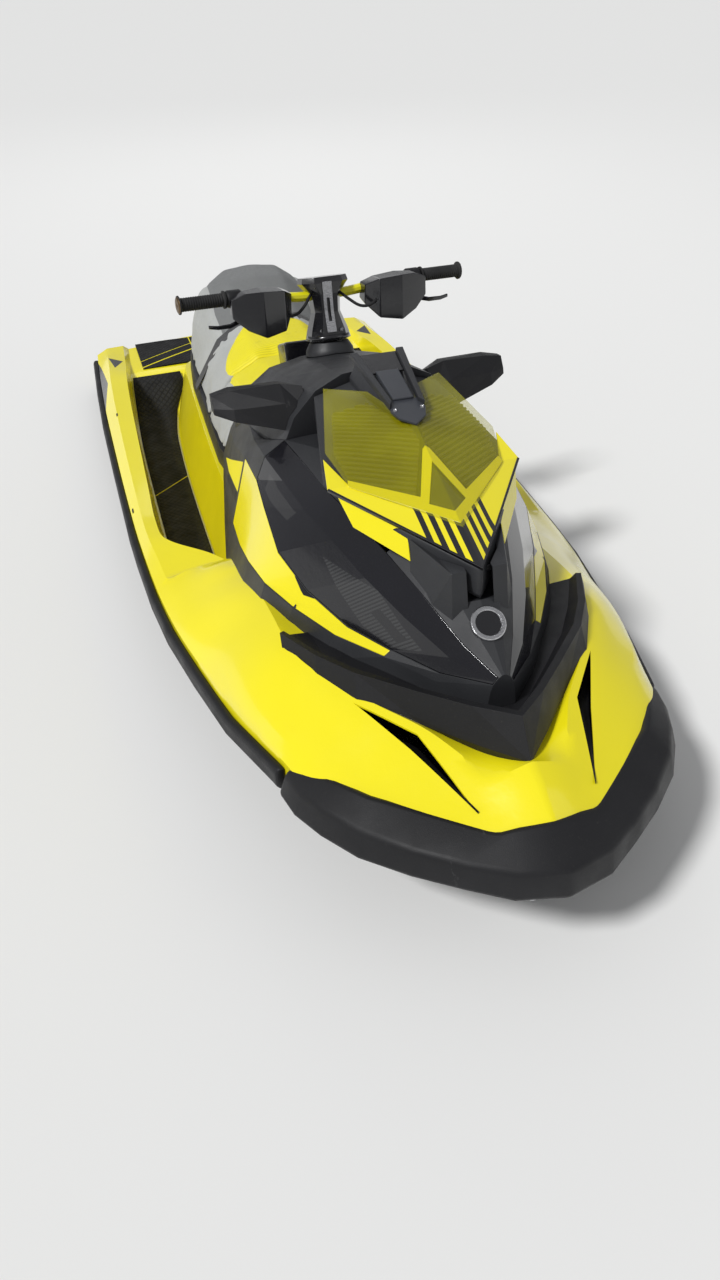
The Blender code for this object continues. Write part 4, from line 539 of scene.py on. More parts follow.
# %% The deck's sections
DECIMETRE = 0.1
DRAFT = 0.26
EDGE_LINE = (
    # station, half breadth, level of the joint with the hull
    (-15.90, 0.70, 5.20), (-15.24, 1.80, 5.20), (-14.40, 3.05, 5.10), (-13.00, 3.85, 5.05),
    (-11.70, 4.22, 4.95), (-9.60, 4.85, 4.60), (-7.50, 5.25, 4.35), (-5.50, 5.60, 4.20),
    (-3.70, 5.78, 4.07), (-1.50, 5.90, 3.97), (0.0, 5.95, 3.92), (4.0, 5.98, 3.80),
    (8.0, 5.97, 3.65), (11.0, 5.90, 3.55), (14.0, 5.78, 3.45), (15.6, 5.70, 3.40),
)
DECK_LINES = (
    # station, level on the centreline, then half breadth and level of the pedestal's edge, its foot,
    # the floor's edge, the gunwale's inner edge and its crown
    (-15.90, 5.95, 0.15, 5.92, 0.28, 5.88, 0.40, 5.84, 0.50, 5.78, 0.60, 5.70),
    (-15.24, 6.28, 0.35, 6.18, 0.65, 6.08, 0.90, 5.99, 1.05, 5.93, 1.50, 5.78),
    (-14.40, 6.66, 0.50, 6.52, 1.00, 6.28, 1.50, 6.08, 2.20, 5.86, 2.70, 5.72),
    (-13.70, 6.30, 0.60, 6.30, 1.10, 6.48, 1.85, 6.20, 2.70, 5.90, 3.15, 5.74),
    (-13.00, 6.20, 0.90, 6.25, 1.45, 6.55, 2.20, 6.30, 3.00, 5.97, 3.45, 5.76),
    (-11.70, 6.20, 1.80, 6.25, 2.45, 6.60, 2.90, 6.42, 3.50, 6.06, 3.95, 5.80),
    (-9.60, 6.20, 2.60, 6.25, 3.50, 6.60, 3.95, 6.32, 4.35, 5.92, 4.65, 5.55),
    (-7.50, 6.10, 2.60, 6.15, 3.55, 6.32, 4.10, 6.05, 4.60, 5.62, 5.00, 5.20),
    (-5.50, 5.60, 2.60, 5.60, 3.70, 5.80, 4.30, 5.60, 4.90, 5.22, 5.35, 4.95),
    (-3.75, 5.20, 2.80, 5.20, 3.70, 5.15, 4.30, 5.10, 4.95, 4.98, 5.45, 4.80),
    (-3.60, 5.20, 2.80, 5.10, 3.60, 3.10, 3.72, 3.10, 3.85, 5.02, 5.48, 4.78),
    (-2.50, 5.10, 2.80, 5.00, 3.64, 2.90, 4.50, 2.90, 4.70, 4.92, 5.56, 4.76),
    (-1.50, 5.00, 2.90, 4.95, 3.66, 2.76, 4.95, 2.76, 5.32, 4.78, 5.66, 4.72),
    (0.0, 4.70, 3.05, 4.90, 3.66, 2.70, 5.02, 2.70, 5.34, 4.66, 5.70, 4.66),
    (1.0, 4.60, 3.05, 4.85, 3.66, 2.70, 5.02, 2.70, 5.30, 4.66, 5.70, 4.66),
    (4.0, 4.60, 3.00, 4.80, 3.64, 2.70, 5.00, 2.70, 5.20, 4.62, 5.68, 4.62),
    (8.0, 4.60, 2.85, 4.80, 3.50, 2.76, 4.94, 2.76, 5.06, 4.54, 5.62, 4.54),
    (10.0, 4.60, 2.75, 4.75, 3.20, 3.05, 4.84, 3.05, 4.96, 4.48, 5.56, 4.48),
    (11.2, 4.55, 2.30, 4.50, 2.70, 3.75, 4.74, 3.75, 4.88, 4.40, 5.50, 4.42),
    (11.9, 4.02, 1.50, 4.02, 2.80, 4.00, 4.66, 3.94, 4.82, 4.28, 5.46, 4.36),
    (14.0, 3.96, 1.50, 3.96, 2.80, 3.94, 4.50, 3.90, 4.70, 4.10, 5.36, 4.12),
    (15.6, 3.90, 1.50, 3.90, 2.80, 3.90, 4.40, 3.88, 4.60, 4.02, 5.26, 4.02),
)
SECTION_STEP = 0.5
SHEER_RISE = 0.45
GILL_OUTLINE = ((1.20, -14.80), (1.95, -13.10), (2.66, -11.68), (1.72, -12.90))
GILL_TOP, GILL_FLOOR = 7.5, 5.75
STERN_CENTRE, STERN_CORNER = (0, 15.50), (5.96, 14.40)
STERN_FOOT = 0.34
BAY = ((-0.2097, 0.0503, -0.5), (0.2097, 0.8997, 0.5))
SHELL = 0.004
DECK_SHARP = math.radians(32)


def keel_place(x, y, level):
    """Decimetres, with the level above the keel, to metres above the waterline."""
    return Vector((x * DECIMETRE, y * DECIMETRE, level * DECIMETRE - DRAFT))


def fair_columns(table, stations):
    """Each column of a table at other stations, by a cubic that keeps every rise and fall."""
    rows = np.array(table, dtype=float)
    at = rows[:, 0]
    gaps = np.diff(at)
    out = [stations]
    for column in rows[:, 1:].T:
        slopes = np.diff(column) / gaps
        tangents = np.zeros(len(at))
        for i in range(1, len(at) - 1):
            before, after = slopes[i - 1], slopes[i]
            if before * after > 0:
                a, b = 2 * gaps[i] + gaps[i - 1], gaps[i] + 2 * gaps[i - 1]
                tangents[i] = (a + b) / (a / before + b / after)
        tangents[0], tangents[-1] = slopes[0], slopes[-1]
        i = np.clip(np.searchsorted(at, stations, side="right") - 1, 0, len(gaps) - 1)
        t = (stations - at[i]) / gaps[i]
        rise = column[i] * (1 + 2 * t) * (1 - t) ** 2 + column[i + 1] * t ** 2 * (3 - 2 * t)
        lean = gaps[i] * (tangents[i] * t * (1 - t) ** 2 + tangents[i + 1] * t ** 2 * (t - 1))
        out.append(rise + lean)
    return np.array(out).T


def between(table, step):
    """The table's own stations with evenly spaced ones between them."""
    places = []
    for (first, *_), (second, *_) in zip(table, table[1:]):
        count = max(1, round((second - first) / step))
        places += [first + (second - first) * i / count for i in range(count)]
    return np.array(places + [table[-1][0]])


def bridged(chains):
    """A skin through open chains of points, each bridged to the next."""
    bm = bmesh.new()
    before = None
    for chain in chains:
        verts = [bm.verts.new(place) for place in chain]
        edges = [bm.edges.new(pair) for pair in zip(verts, verts[1:])]
        if before:
            bmesh.ops.bridge_loops(bm, edges=before + edges)
        before = edges
    return bm


def whole(bm):
    return bm.verts[:] + bm.edges[:] + bm.faces[:]


def mirror_over(bm):
    bmesh.ops.mirror(bm, geom=whole(bm), axis="X", merge_dist=WELD)
    bmesh.ops.remove_doubles(bm, verts=bm.verts, dist=WELD)
    bmesh.ops.recalc_face_normals(bm, faces=bm.faces)
    return bm


def sliced(bm, place, normal, clear=True):
    """Cuts along a plane, with what lies outside it cleared away or kept, and gives the new edges."""
    cut = bmesh.ops.bisect_plane(bm, geom=whole(bm), plane_co=place, plane_no=normal, clear_outer=clear)
    return [each for each in cut["geom_cut"] if isinstance(each, bmesh.types.BMEdge)]


def creased(bm, above):
    layer = bm.edges.layers.float.get("crease_edge") or bm.edges.layers.float.new("crease_edge")
    for edge in bm.edges:
        if len(edge.link_faces) == 2 and edge.calc_face_angle() > above:
            edge[layer] = 1.0
    return bm


print("deck sections:", len(between(DECK_LINES, SECTION_STEP)))

# %% Skin, shell and cuts


def prism(outline, low, high, side=1):
    """An upright block on an outline of decimetre places, for cutting or for a liner."""
    bm = bmesh.new()
    face = bm.faces.new([bm.verts.new(keel_place(side * x, y, low)) for x, y in outline])
    grown = bmesh.ops.extrude_face_region(bm, geom=[face])
    rise = Vector((0, 0, (high - low) * DECIMETRE))
    bmesh.ops.translate(bm, verts=[v for v in grown["geom"] if isinstance(v, bmesh.types.BMVert)], vec=rise)
    bmesh.ops.recalc_face_normals(bm, faces=bm.faces)
    return bm


def block(low, high):
    bm = bmesh.new()
    bmesh.ops.create_cube(bm, size=1)
    low, high = Vector(low), Vector(high)
    bmesh.ops.scale(bm, verts=bm.verts, vec=high - low)
    bmesh.ops.translate(bm, verts=bm.verts, vec=(low + high) / 2)
    return bm


def loose(name, bm):
    """A helper mesh that is deleted again once it has cut something."""
    mesh = bpy.data.meshes.new(name)
    bm.to_mesh(mesh)
    bm.free()
    item = bpy.data.objects.new(name, mesh)
    bpy.context.scene.collection.objects.link(item)
    return item


def applied(item):
    """Its modifiers made part of the mesh."""
    bpy.context.view_layer.update()
    graph = bpy.context.evaluated_depsgraph_get()
    mesh = bpy.data.meshes.new_from_object(item.evaluated_get(graph))
    old, item.data = item.data, mesh
    item.modifiers.clear()
    bpy.data.meshes.remove(old)
    return item


def cut_by(item, *cutters):
    for cutter in cutters:
        gap = item.modifiers.new("cut", "BOOLEAN")
        gap.operation, gap.solver, gap.object = "DIFFERENCE", "EXACT", cutter
    applied(item)
    for cutter in cutters:
        bpy.data.objects.remove(cutter, do_unlink=True)
    return item


def make_deck():
    stations = between(DECK_LINES, SECTION_STEP)
    lines, edges = fair_columns(DECK_LINES, stations), fair_columns(EDGE_LINE, stations)
    chains = []
    for row, (_, half, joint) in zip(lines, edges):
        chain = [keel_place(0, row[0], row[1])]
        chain += [keel_place(row[i], row[0], row[i + 1]) for i in range(2, len(row), 2)]
        chain += [keel_place(half, row[0], joint + SHEER_RISE), keel_place(half, row[0], joint)]
        chains.append(chain)
    bm = bridged(chains)
    centre, corner = keel_place(*STERN_CENTRE, 0), keel_place(*STERN_CORNER, 0)
    run = corner - centre
    rim = sliced(bm, centre, (-run.y, run.x, 0))
    wall = bmesh.ops.extrude_edge_only(bm, edges=rim)["geom"]
    for vert in wall:
        if isinstance(vert, bmesh.types.BMVert):
            vert.co.z = STERN_FOOT - DRAFT
    mirror_over(bm)
    if sum(f.normal.z * f.calc_area() for f in bm.faces) < 0:
        bmesh.ops.reverse_faces(bm, faces=bm.faces)
    creased(bm, ROUND_ABOVE)
    item = piece("deck_shell", bm, deck_yellow, "root", "deck", outward=False)
    applied(walled(faired(item, 2), SHELL))
    gills = [loose("gill_cut", prism(GILL_OUTLINE, GILL_FLOOR, GILL_TOP, side)) for side in (1, -1)]
    cut_by(item, *gills, loose("bay_cut", block(*BAY)))
    item.data.set_sharp_from_angle(angle=DECK_SHARP)
    return item


deck = make_deck()
print("deck:", len(deck.data.polygons), "faces")

# %% [markdown]
# Each gill is lined in black. The liner fills the slot to just under the yellow surface, so its black also
# paints the shade down in the vent, and the slot reads as a dark vent from every side.

# %% Gill liners
LINER_TOP, LINER_GAP = 6.12, 0.02
SIDES = (("port", 1), ("starboard", -1))

# Painted shade: the black block stands for the vent's dark depth as well as its lining.
for name, side in SIDES:
    liner = prism(GILL_OUTLINE, GILL_FLOOR + LINER_GAP, LINER_TOP, side)
    piece("gill_liner_" + name, liner, satin_black, "root")
print("gills lined:", len(SIDES))

# %% [markdown]
# The hull under it is black and mostly under water. Its CAD solid already has the right lines, so a
# copy is enough, with its triangles joined, its hard lines creased and its facets faired.

# %% Hull
HULL_CREASE, HULL_JOIN, HULL_SKEW = math.radians(21), math.radians(9), math.radians(60)


def make_hull():
    bm = joined(read_node("hull"))
    bmesh.ops.triangulate(bm, faces=bm.faces, quad_method="BEAUTY", ngon_method="BEAUTY")
    bmesh.ops.join_triangles(bm, faces=bm.faces, angle_face_threshold=HULL_JOIN,
                             angle_shape_threshold=HULL_SKEW)
    creased(bm, HULL_CREASE)
    return faired(piece("hull_finished", bm, hull_black, "root", "hull", outward=False), 2)


hull = make_hull()
print("hull:", len(hull.data.polygons), "faces before fairing")

# %% [markdown]
# ## The mouldings around them
#
# Bumper, rails, tray, cowl, console and panels keep their CAD form, with rounded edges in place of
# knife edges. The table gives each node its finish and the radius of its edges, and lists a material slot
# that nothing reads.

# %% Rigid mouldings by table
MOULDED = (
    # node, finish, body, slot, edge radius
    ("bow_bumper", satin_black, "root", "black_plastic", 0.010),
    ("rub_rail_port", satin_black, "root", "black_plastic", 0.005),
    ("rub_rail_starboard", satin_black, "root", "black_plastic", 0.005),
    ("nose_tray", satin_black, "root", "black_plastic", 0.0035),
    ("cowl_core", flank_grey, "root", "dark_grey", 0.003),
    ("side_panel_port", flaked_black, "root", "gloss_black", 0.002),
    ("side_panel_starboard", flaked_black, "root", "gloss_black", 0.002),
    ("cheek_panel_port", cheek_yellow, "root", "yellow", 0.002),
    ("cheek_panel_starboard", cheek_yellow, "root", "yellow", 0.002),
    ("lower_panel_port", flank_grey, "root", "dark_grey", 0.002),
    ("lower_panel_starboard", flank_grey, "root", "dark_grey", 0.002),
    ("console", dark_grey, "root", "dark_grey", 0.006),
    ("engine_block", engine_grey, "root", "engine", 0.008),
    ("gauge", gloss_black, "root", "gloss_black", 0.004),
    ("pump_housing", cast_alloy, "root", "metal", 0.001),
    ("ride_plate", dark_grey, "root", "dark_grey", 0.002),
    ("intake_grate", cast_alloy, "root", "metal", 0.0015),
    ("sponson_port", satin_black, "root", "black_plastic", 0.004),
    ("sponson_starboard", satin_black, "root", "black_plastic", 0.004),
    ("bow_eye", bright_steel, "root", "metal", 0.0002),
    ("hood_hinge", satin_black, "root", "black_plastic", 0.001),
    ("steering_boot", dark_grey, "root", "dark_grey", 0.003),
    ("mirror_port", satin_black, "root", "black_plastic", 0.004),
    ("mirror_starboard", satin_black, "root", "black_plastic", 0.004),
    ("mirror_glass_port", silver_glass, "root", "mirror", 0.001),
    ("mirror_glass_starboard", silver_glass, "root", "mirror", 0.001),
    ("rear_mat", platform_foam, "root", "rubber", 0.0015),
    ("hood_latch", dark_grey, "hood", "dark_grey", 0.003),
    ("seat_base", dark_grey, "seat", "dark_grey", 0.004),
    ("seat_strap", strap_cloth, "seat", "strap", 0.0008),
    ("steering_column", gloss_black, "steering", "gloss_black", 0.003),
    ("handlebar", bar_yellow, "steering", "bar_yellow", 0.0002),
    ("nozzle", satin_black, "nozzle", "black_plastic", 0.001),
    ("reverse_gate", satin_black, "reverse_gate", "black_plastic", 0.001),
    ("impeller", cast_alloy, "impeller", "metal", 0.0005),
)

FACETED = ("side_panel", "cowl_core", "console", "mirror", "hand_guard", "lower_panel", "nose_tray",
           "steering_column", "hood_base", "hood_latch")
FACET = math.radians(7)

made = {}
for node, finish, body, slot, radius in MOULDED:
    above = FACET if node.startswith(FACETED) else ROUND_ABOVE
    made[node] = moulded(node, finish, body, radius, above)
print("moulded:", len(made), "nodes")

# %% [markdown]
# ## The hood
#
# The hood carries what one looks at first: a yellow panel folded along the centreline, a tinted
# visor over a bank of thin ribs, and a latch. All of them are thin plates, so one helper makes them:
# it takes the faces of the port half, mirrors them, and gives them a wall and rounded edges.

# %% Thin plates and small screws
HOOD_CORE = (0, -0.8, 0.3)
SCREW_SIDES, SCREW_TAPER, RECESS_RIM, RECESS_DEEP = 18, 0.86, 0.36, 0.7


def away_from(bm, point):
    """Turns every face so that its front looks away from a point."""
    for face in bm.faces:
        face.normal_update()
        if face.normal.dot(face.calc_center_median() - Vector(point)) < 0:
            face.normal_flip()


def plate(name, faces, thickness, finish, body, stands_for=(), radius=0.0008, mirrored=True,
          core=HOOD_CORE, inset=None):
    bm = bmesh.new()
    for outline in faces:
        bm.faces.new([bm.verts.new(place) for place in outline])
    bmesh.ops.remove_doubles(bm, verts=bm.verts, dist=WELD)
    if mirrored:
        mirror_over(bm)
    away_from(bm, core)
    if inset:
        width, rise = inset
        ring = bmesh.ops.inset_region(bm, faces=bm.faces[:], thickness=width, depth=-rise,
                                      use_even_offset=True)
        for face in ring["faces"]:
            face.material_index = 1
    item = piece(name, bm, finish, body, stands_for, smooth=False, outward=False)
    return rounded(walled(item, thickness, even=True), radius)


def at(x, y, level):
    """Metres from the centreline and the datum, with the level above the keel."""
    return Vector((x, y, level - DRAFT))


def screw(name, place, axis, radius, height, finish, body):
    """A round head with a round recess."""
    bm = bmesh.new()
    bmesh.ops.create_cone(bm, cap_ends=True, segments=SCREW_SIDES, radius1=radius,
                          radius2=radius * SCREW_TAPER, depth=height)
    top = max(bm.faces, key=lambda f: f.calc_center_median().z)
    bmesh.ops.inset_region(bm, faces=[top], thickness=radius * RECESS_RIM)
    bmesh.ops.translate(bm, verts=top.verts, vec=(0, 0, -height * RECESS_DEEP))
    turn = Vector((0, 0, 1)).rotation_difference(Vector(axis)).to_matrix()
    bmesh.ops.rotate(bm, verts=bm.verts, matrix=turn)
    bmesh.ops.translate(bm, verts=bm.verts, vec=place)
    return piece(name, bm, finish, body, smooth=False)


print("the keel is", round(-at(0, 0, 0).z, 2), "m under the waterline")

# %% [markdown]
# The yellow panel is two flat facets that meet in a crease. Its stripes come from its material. A
# black edging runs under its lower edge, and below that a short yellow lip folds down at each side.

# %% Panel, edging and lips
PANEL_TIP, PANEL_END = at(0, -1.162, 0.9195), at(0.2175, -0.841, 0.9535)
PANEL_FRONT, PANEL_SHOULDER = at(0, -1.045, 0.9515), at(0.1700, -0.845, 0.9560)
PANEL_CORNER = at(0.2010, -0.752, 0.9760)
EDGING = 0.0042
LIP_FOOT, LIP_HEEL = at(0.1033, -1.0406, 0.8783), at(0.1848, -0.9155, 0.8994)

made["hood_panel"] = plate("hood_panel_finished", [[PANEL_TIP, PANEL_END, PANEL_SHOULDER, PANEL_FRONT],
                                                   [PANEL_END, PANEL_CORNER, PANEL_SHOULDER]], 0.004,
                           striped_yellow, "hood", "hood_panel", 0.001)
along = PANEL_END - PANEL_TIP
facet = along.cross(PANEL_FRONT - PANEL_TIP).normalized()
inward = facet.cross(along).normalized() * EDGING
if inward.y < 0:
    inward = -inward
lift = Vector((0, -0.0012, 0.0006))
edge_out = -inward * 0.35
plate("panel_edging", [[PANEL_TIP + lift, PANEL_END + edge_out + lift, PANEL_END + inward + lift,
                        PANEL_TIP + Vector((0, inward.length * 1.7, inward.z)) + lift]],
      0.007, gloss_black, "hood", radius=0.0006)
LIP_SHARES = (0.06, 0.53)
upper = [PANEL_END - along * share - Vector((0.002, -0.002, 0.005)) for share in LIP_SHARES]
plate("hood_lip", [[*upper, LIP_FOOT, LIP_HEEL]], 0.004, yellow, "hood", radius=0.0012)
print("panel:", round(along.length, 3), "m a side")

# %% [markdown]
# The hood's base keeps its CAD form, trimmed by two upright planes so that the panel's edge stands
# proud of it. Below the edge a short smooth prow rides on the hood and runs down to the cowl. The
# hinge lies under it, and a low faceted fairing on the cowl covers its lugs on both sides.

# %% Base and prow
TRIM = 0.004
PROW_SHARES = (0, 0.12, 0.25, 0.40, 0.56)
PROW_FOOT = ((0, -1.161, 0.847), (0.031, -1.130, 0.856), (0.060, -1.090, 0.878), (0.094, -1.042, 0.876),
             (0.130, -0.988, 0.874))


def make_hood_base():
    bm = joined(read_node("hood_base"))
    for side in (1, -1):
        out = Vector((side * along.y, -along.x, 0)).normalized()
        bmesh.ops.holes_fill(bm, edges=sliced(bm, Vector((0, PANEL_TIP.y, 0)) - out * TRIM, out))
    item = piece("hood_base_finished", bm, dark_grey, "hood", "hood_base")
    return rounded(item, 0.003, FACET)


def make_prow():
    top = [PANEL_TIP + along * share + Vector((0, 0.003, -0.004)) for share in PROW_SHARES]
    foot = [at(*place) for place in PROW_FOOT]
    belly = [(a + b) / 2 + Vector((0.001, -0.003, 0)) for a, b in zip(top, foot)]
    belly[0].x = 0
    bm = bridged([top, belly, foot])
    mirror_over(bm)
    away_from(bm, (0, -0.9, 0.5))
    creased(bm, math.radians(50))
    item = piece("cowl_prow", bm, dark_grey, "hood", outward=False)
    return walled(faired(item, 2), 0.003)


CHIN = {"root": (0.0275, -1.135, 0.910), "inner": (0.0275, -1.147, 0.908),
        "outer": (0.0575, -1.147, 0.908), "rise": (0.062, -1.087, 0.906), "rear": (0.098, -1.0235, 0.919),
        "heel": (0.106, -1.046, 0.852), "side": (0.088, -1.122, 0.817), "toe": (0.060, -1.169, 0.808),
        "foot": (0.0275, -1.172, 0.827)}
CHIN_FACETS = (("root", "inner", "outer", "rise"), ("rise", "outer", "rear"),
               ("inner", "foot", "toe", "outer"), ("outer", "toe", "side"), ("outer", "side", "rear"),
               ("rear", "side", "heel"))
CHIN_CORE = (0, -1.02, 0.56)


def make_fairing():
    """Two low faceted cheeks of the cowl, which cover the lugs of the hinge on both sides of the prow."""
    faces = [[at(*CHIN[corner]) for corner in facet] for facet in CHIN_FACETS]
    faces += [[Vector((-v.x, v.y, v.z)) for v in reversed(face)] for face in faces]
    return plate("hinge_fairing", faces, 0.002, dark_grey, "root", radius=0.003,
                 mirrored=False, core=CHIN_CORE)


made["hood_base"] = make_hood_base()
prow, fairing = make_prow(), make_fairing()
print("prow and fairing:", len(prow.data.polygons), len(fairing.data.polygons), "faces")

# %% [markdown]
# The visor is a bent tinted sheet with a raised bead along its edge. The bead is an inset ring of
# faces with a finish of its own. Each half folds where the front facet meets the rear one.

# %% Visor
VISOR = {"front": at(0, -1.057, 0.9505), "shoulder": at(0.1735, -0.8545, 0.9610),
         "outer": at(0.195, -0.745, 0.9875), "back": at(0.141, -0.542, 1.0385),
         "inner": at(0.055, -0.605, 1.0465), "notch": at(0, -0.779, 1.0385)}
VISOR_RIM = ("front", "shoulder", "outer", "back", "inner")
VISOR_BEAD, BEAD_RISE = 0.0050, 0.0012
visor_bead = plastic("visor_bead", (0.74, 0.70, 0.030), 0.12, (60, 0.0002), 0.08, Coat_Weight=1.0,
                     Coat_Roughness=0.05)
facets = [[VISOR[first], VISOR[second], VISOR["notch"]] for first, second in zip(VISOR_RIM, VISOR_RIM[1:])]
made["visor"] = plate("visor_finished", facets, 0.003, (visor_tint, visor_bead), "hood", "visor",
                      0.0005, inset=(VISOR_BEAD, BEAD_RISE))


def visor_height(x, y):
    """How high the visor's sheet is over a place of the port half."""
    centre = VISOR["notch"]
    heading = math.atan2(y - centre.y, x - centre.x)
    for first, second in zip(VISOR_RIM, VISOR_RIM[1:]):
        a, b = VISOR[first], VISOR[second]
        limit = math.atan2(b.y - centre.y, b.x - centre.x)
        if heading <= limit or second == VISOR_RIM[-1]:
            normal = (a - centre).cross(b - centre)
            return centre.z - (normal.x * (x - centre.x) + normal.y * (y - centre.y)) / normal.z


print("visor height at the fold:", round(visor_height(0.1, -0.76), 4))

# %% [markdown]
# Under the sheet lie the ribs: thin bars, a finger's breadth apart, laid slantwise on a dark plate.
# They are one row of copies of a bar, clipped to the outline by planes and then dropped to a few
# millimetres under the sheet, so they follow its fold.

# %% Ribs and their plate
RIB_OUTLINE = ((0.006, -0.815), (0.060, -0.945), (0.168, -0.838), (0.176, -0.748), (0.146, -0.630),
               (0.066, -0.640), (0.010, -0.775))
RIB_PITCH, RIB_WIDTH, RIB_DEEP = 0.0117, 0.0048, 0.005
RIB_LENGTH, RIB_MIDDLE, RIBS_EACH_WAY = 0.5, (0.1, -0.76), 24
RIB_TURN = math.radians(36)
PLATE_UNDER, RIB_UNDER = 0.0105, 0.0048


def clipped(bm, outline):
    """Only what lies inside a convex outline that runs round counterclockwise, with its cuts closed."""
    for (ax, ay), (bx, by) in zip(outline, outline[1:] + outline[:1]):
        rim = [edge for edge in sliced(bm, (ax, ay, 0), (by - ay, ax - bx, 0)) if edge.is_boundary]
        if rim:
            bmesh.ops.holes_fill(bm, edges=rim)
    return bm


def under_visor(bm, depth):
    """Splits a flat shape along the visor's folds and drops it to a depth under the sheet."""
    for corner in VISOR_RIM[1:-1]:
        fold = VISOR["notch"] - VISOR[corner]
        sliced(bm, (*VISOR[corner].xy, 0), (fold.y, -fold.x, 0), clear=False)
    for vert in bm.verts:
        vert.co.z += visor_height(vert.co.x, vert.co.y) - depth
    return bm


def make_ribs():
    bm = bmesh.new()
    bar = Matrix.Diagonal((RIB_LENGTH, RIB_WIDTH, RIB_DEEP, 1))
    place = Matrix.Translation((*RIB_MIDDLE, -RIB_DEEP / 2)) @ Matrix.Rotation(RIB_TURN, 4, "Z")
    for i in range(-RIBS_EACH_WAY, RIBS_EACH_WAY + 1):
        bmesh.ops.create_cube(bm, size=1, matrix=place @ Matrix.Translation((0, i * RIB_PITCH, 0)) @ bar)
    under_visor(clipped(bm, RIB_OUTLINE), RIB_UNDER)
    mirror_over(bm)
    return piece("visor_ribs", bm, rib_olive, "hood", smooth=False)


def make_rib_plate():
    bm = bmesh.new()
    bm.faces.new([bm.verts.new((x, y, 0)) for x, y in RIB_OUTLINE])
    under_visor(bm, PLATE_UNDER)
    mirror_over(bm)
    away_from(bm, HOOD_CORE)
    item = piece("rib_plate", bm, rib_ground, "hood", smooth=False, outward=False)
    return walled(item, 0.002)


# The ribs and their plate have the visor's yellow tint painted into their colours: painted tinted light and
# shade from the sheet, which is itself mostly clear.
rib_olive = plastic("rib_tinted_by_visor", (0.105, 0.092, 0.004), 0.35, (800, 0.0003), 0.15)
rib_ground = plastic("rib_ground", (0.040, 0.036, 0.002), 0.5, (800, 0.0003), 0.15)
ribs = make_ribs()
make_rib_plate()
print("ribs:", len(ribs.data.polygons), "faces")

# %% [markdown]
# At the visor's front a yellow frame shows through the sheet. It has a band along both front edges
# and two legs that meet in a point further aft, round a dark window.

# %% Frame under the visor
FRAME_UNDER = 0.0042
FRAME_FACES = (
    ((0.050, -0.948), (0.171, -0.834), (0.1755, -0.850), (0, -1.044), (0, -1.012), (0.040, -0.972)),
    ((0, -0.834), (0.008, -0.840), (0.050, -0.948), (0.040, -0.972), (0, -0.878)),
)
WINDOW = ((0, -0.87), (0, -1.02), (0.048, -0.97))


def sunk(outline, depth):
    """An outline from above, laid at a depth under the visor's sheet."""
    return [Vector((x, y, visor_height(x, y) - depth)) for x, y in outline]


plate("visor_frame", [sunk(outline, FRAME_UNDER) for outline in FRAME_FACES], 0.003, yellow, "hood",
      radius=0.0008)
plate("frame_window", [sunk(WINDOW, PLATE_UNDER)], 0.002, gloss_black, "hood",
      radius=0.0003)
print("window in the frame:", round(2000 * max(x for x, _ in WINDOW)), "mm wide")

# %% [markdown]
# The latch sits in the visor's notch: a plate with two screws, a block behind it between two arms,
# and at the back a black plate, painted shade in the opening where fingers reach in to lift the hood.

# %% Latch
LATCH_TIP, LATCH_LEVEL, LATCH_SLOPE = -0.781, 1.0415, 0.155
LATCH_SCREW_OUT, LATCH_SCREW_ALONG = 0.0305, -0.728


def latch_level(y, above=0.0):
    return LATCH_LEVEL + (y - LATCH_TIP) * LATCH_SLOPE + above


def latch_plate(name, outline, above, thickness, finish, radius=0.0012):
    faces = [[at(x, y, latch_level(y, above)) for x, y in outline]]
    return plate(name, faces, thickness, finish, "hood", radius=radius)


latch_grey = plastic("latch_moulding", (0.036, 0.039, 0.047), 0.36, (700, 0.0003), 0.15,
                     (0.2, 0.2, 0.2), 0.68)
latch_plate("latch_plate", ((0, -0.783), (0.030, -0.756), (0.040, -0.727), (0.034, -0.690), (0, -0.690)),
            0.001, 0.006, latch_grey)
latch_plate("latch_block", ((0, -0.694), (0.024, -0.694), (0.027, -0.580), (0, -0.580)), 0.006, 0.012,
            latch_grey, 0.002)
# Painted shade: a black plate fills the finger opening.
latch_plate("latch_opening_shade", ((0, -0.584), (0.040, -0.584), (0.046, -0.505), (0, -0.505)), 0.0035, 0.004,
            gloss_black)
latch_plate("latch_arms", ((0.030, -0.706), (0.040, -0.722), (0.064, -0.505), (0.046, -0.505)), 0.012, 0.016,
            dark_grey, 0.002)
for name, side in SIDES:
    head = at(side * LATCH_SCREW_OUT, LATCH_SCREW_ALONG, latch_level(LATCH_SCREW_ALONG, 0.0022))
    screw("latch_screw_" + name, head, (0, -0.15, 1), 0.0048, 0.003, bright_steel, "hood")
print("latch screws:", len(SIDES))

# %% [markdown]
# ## The seat
#
# The seat is foam under vinyl, so its covers should look filled. Each cushion starts as a slightly
# smaller copy of its CAD solid, remeshed to small even squares. A short cloth simulation with
# pressure from inside then swells it, and a cap on how far a point may travel keeps it inside its
# room.

# %% Swollen cushions
SEAT_VOXEL = 0.008
SHRINK = 0.005
CAP = 0.009
SEAM_DEEP = 0.0035
PRESSURE, STIFFNESS, LAST_FRAME = 4.0, 12, 20
SMOOTHING_ROUNDS = 6


def remeshed(node):
    """A copy of a cushion's solid, a little smaller, in even squares."""
    bm = joined(read_node(node))
    bmesh.ops.triangulate(bm, faces=bm.faces)
    bm.normal_update()
    for vert in bm.verts:
        vert.co -= vert.normal * SHRINK
    item = loose(node + "_finished", bm)
    blocks = item.modifiers.new("even squares", "REMESH")
    blocks.mode, blocks.voxel_size, blocks.use_smooth_shade = "VOXEL", SEAT_VOXEL, True
    return applied(item)


def places_of(item):
    places = np.empty(len(item.data.vertices) * 3)
    item.data.vertices.foreach_get("co", places)
    return places.reshape(-1, 3)


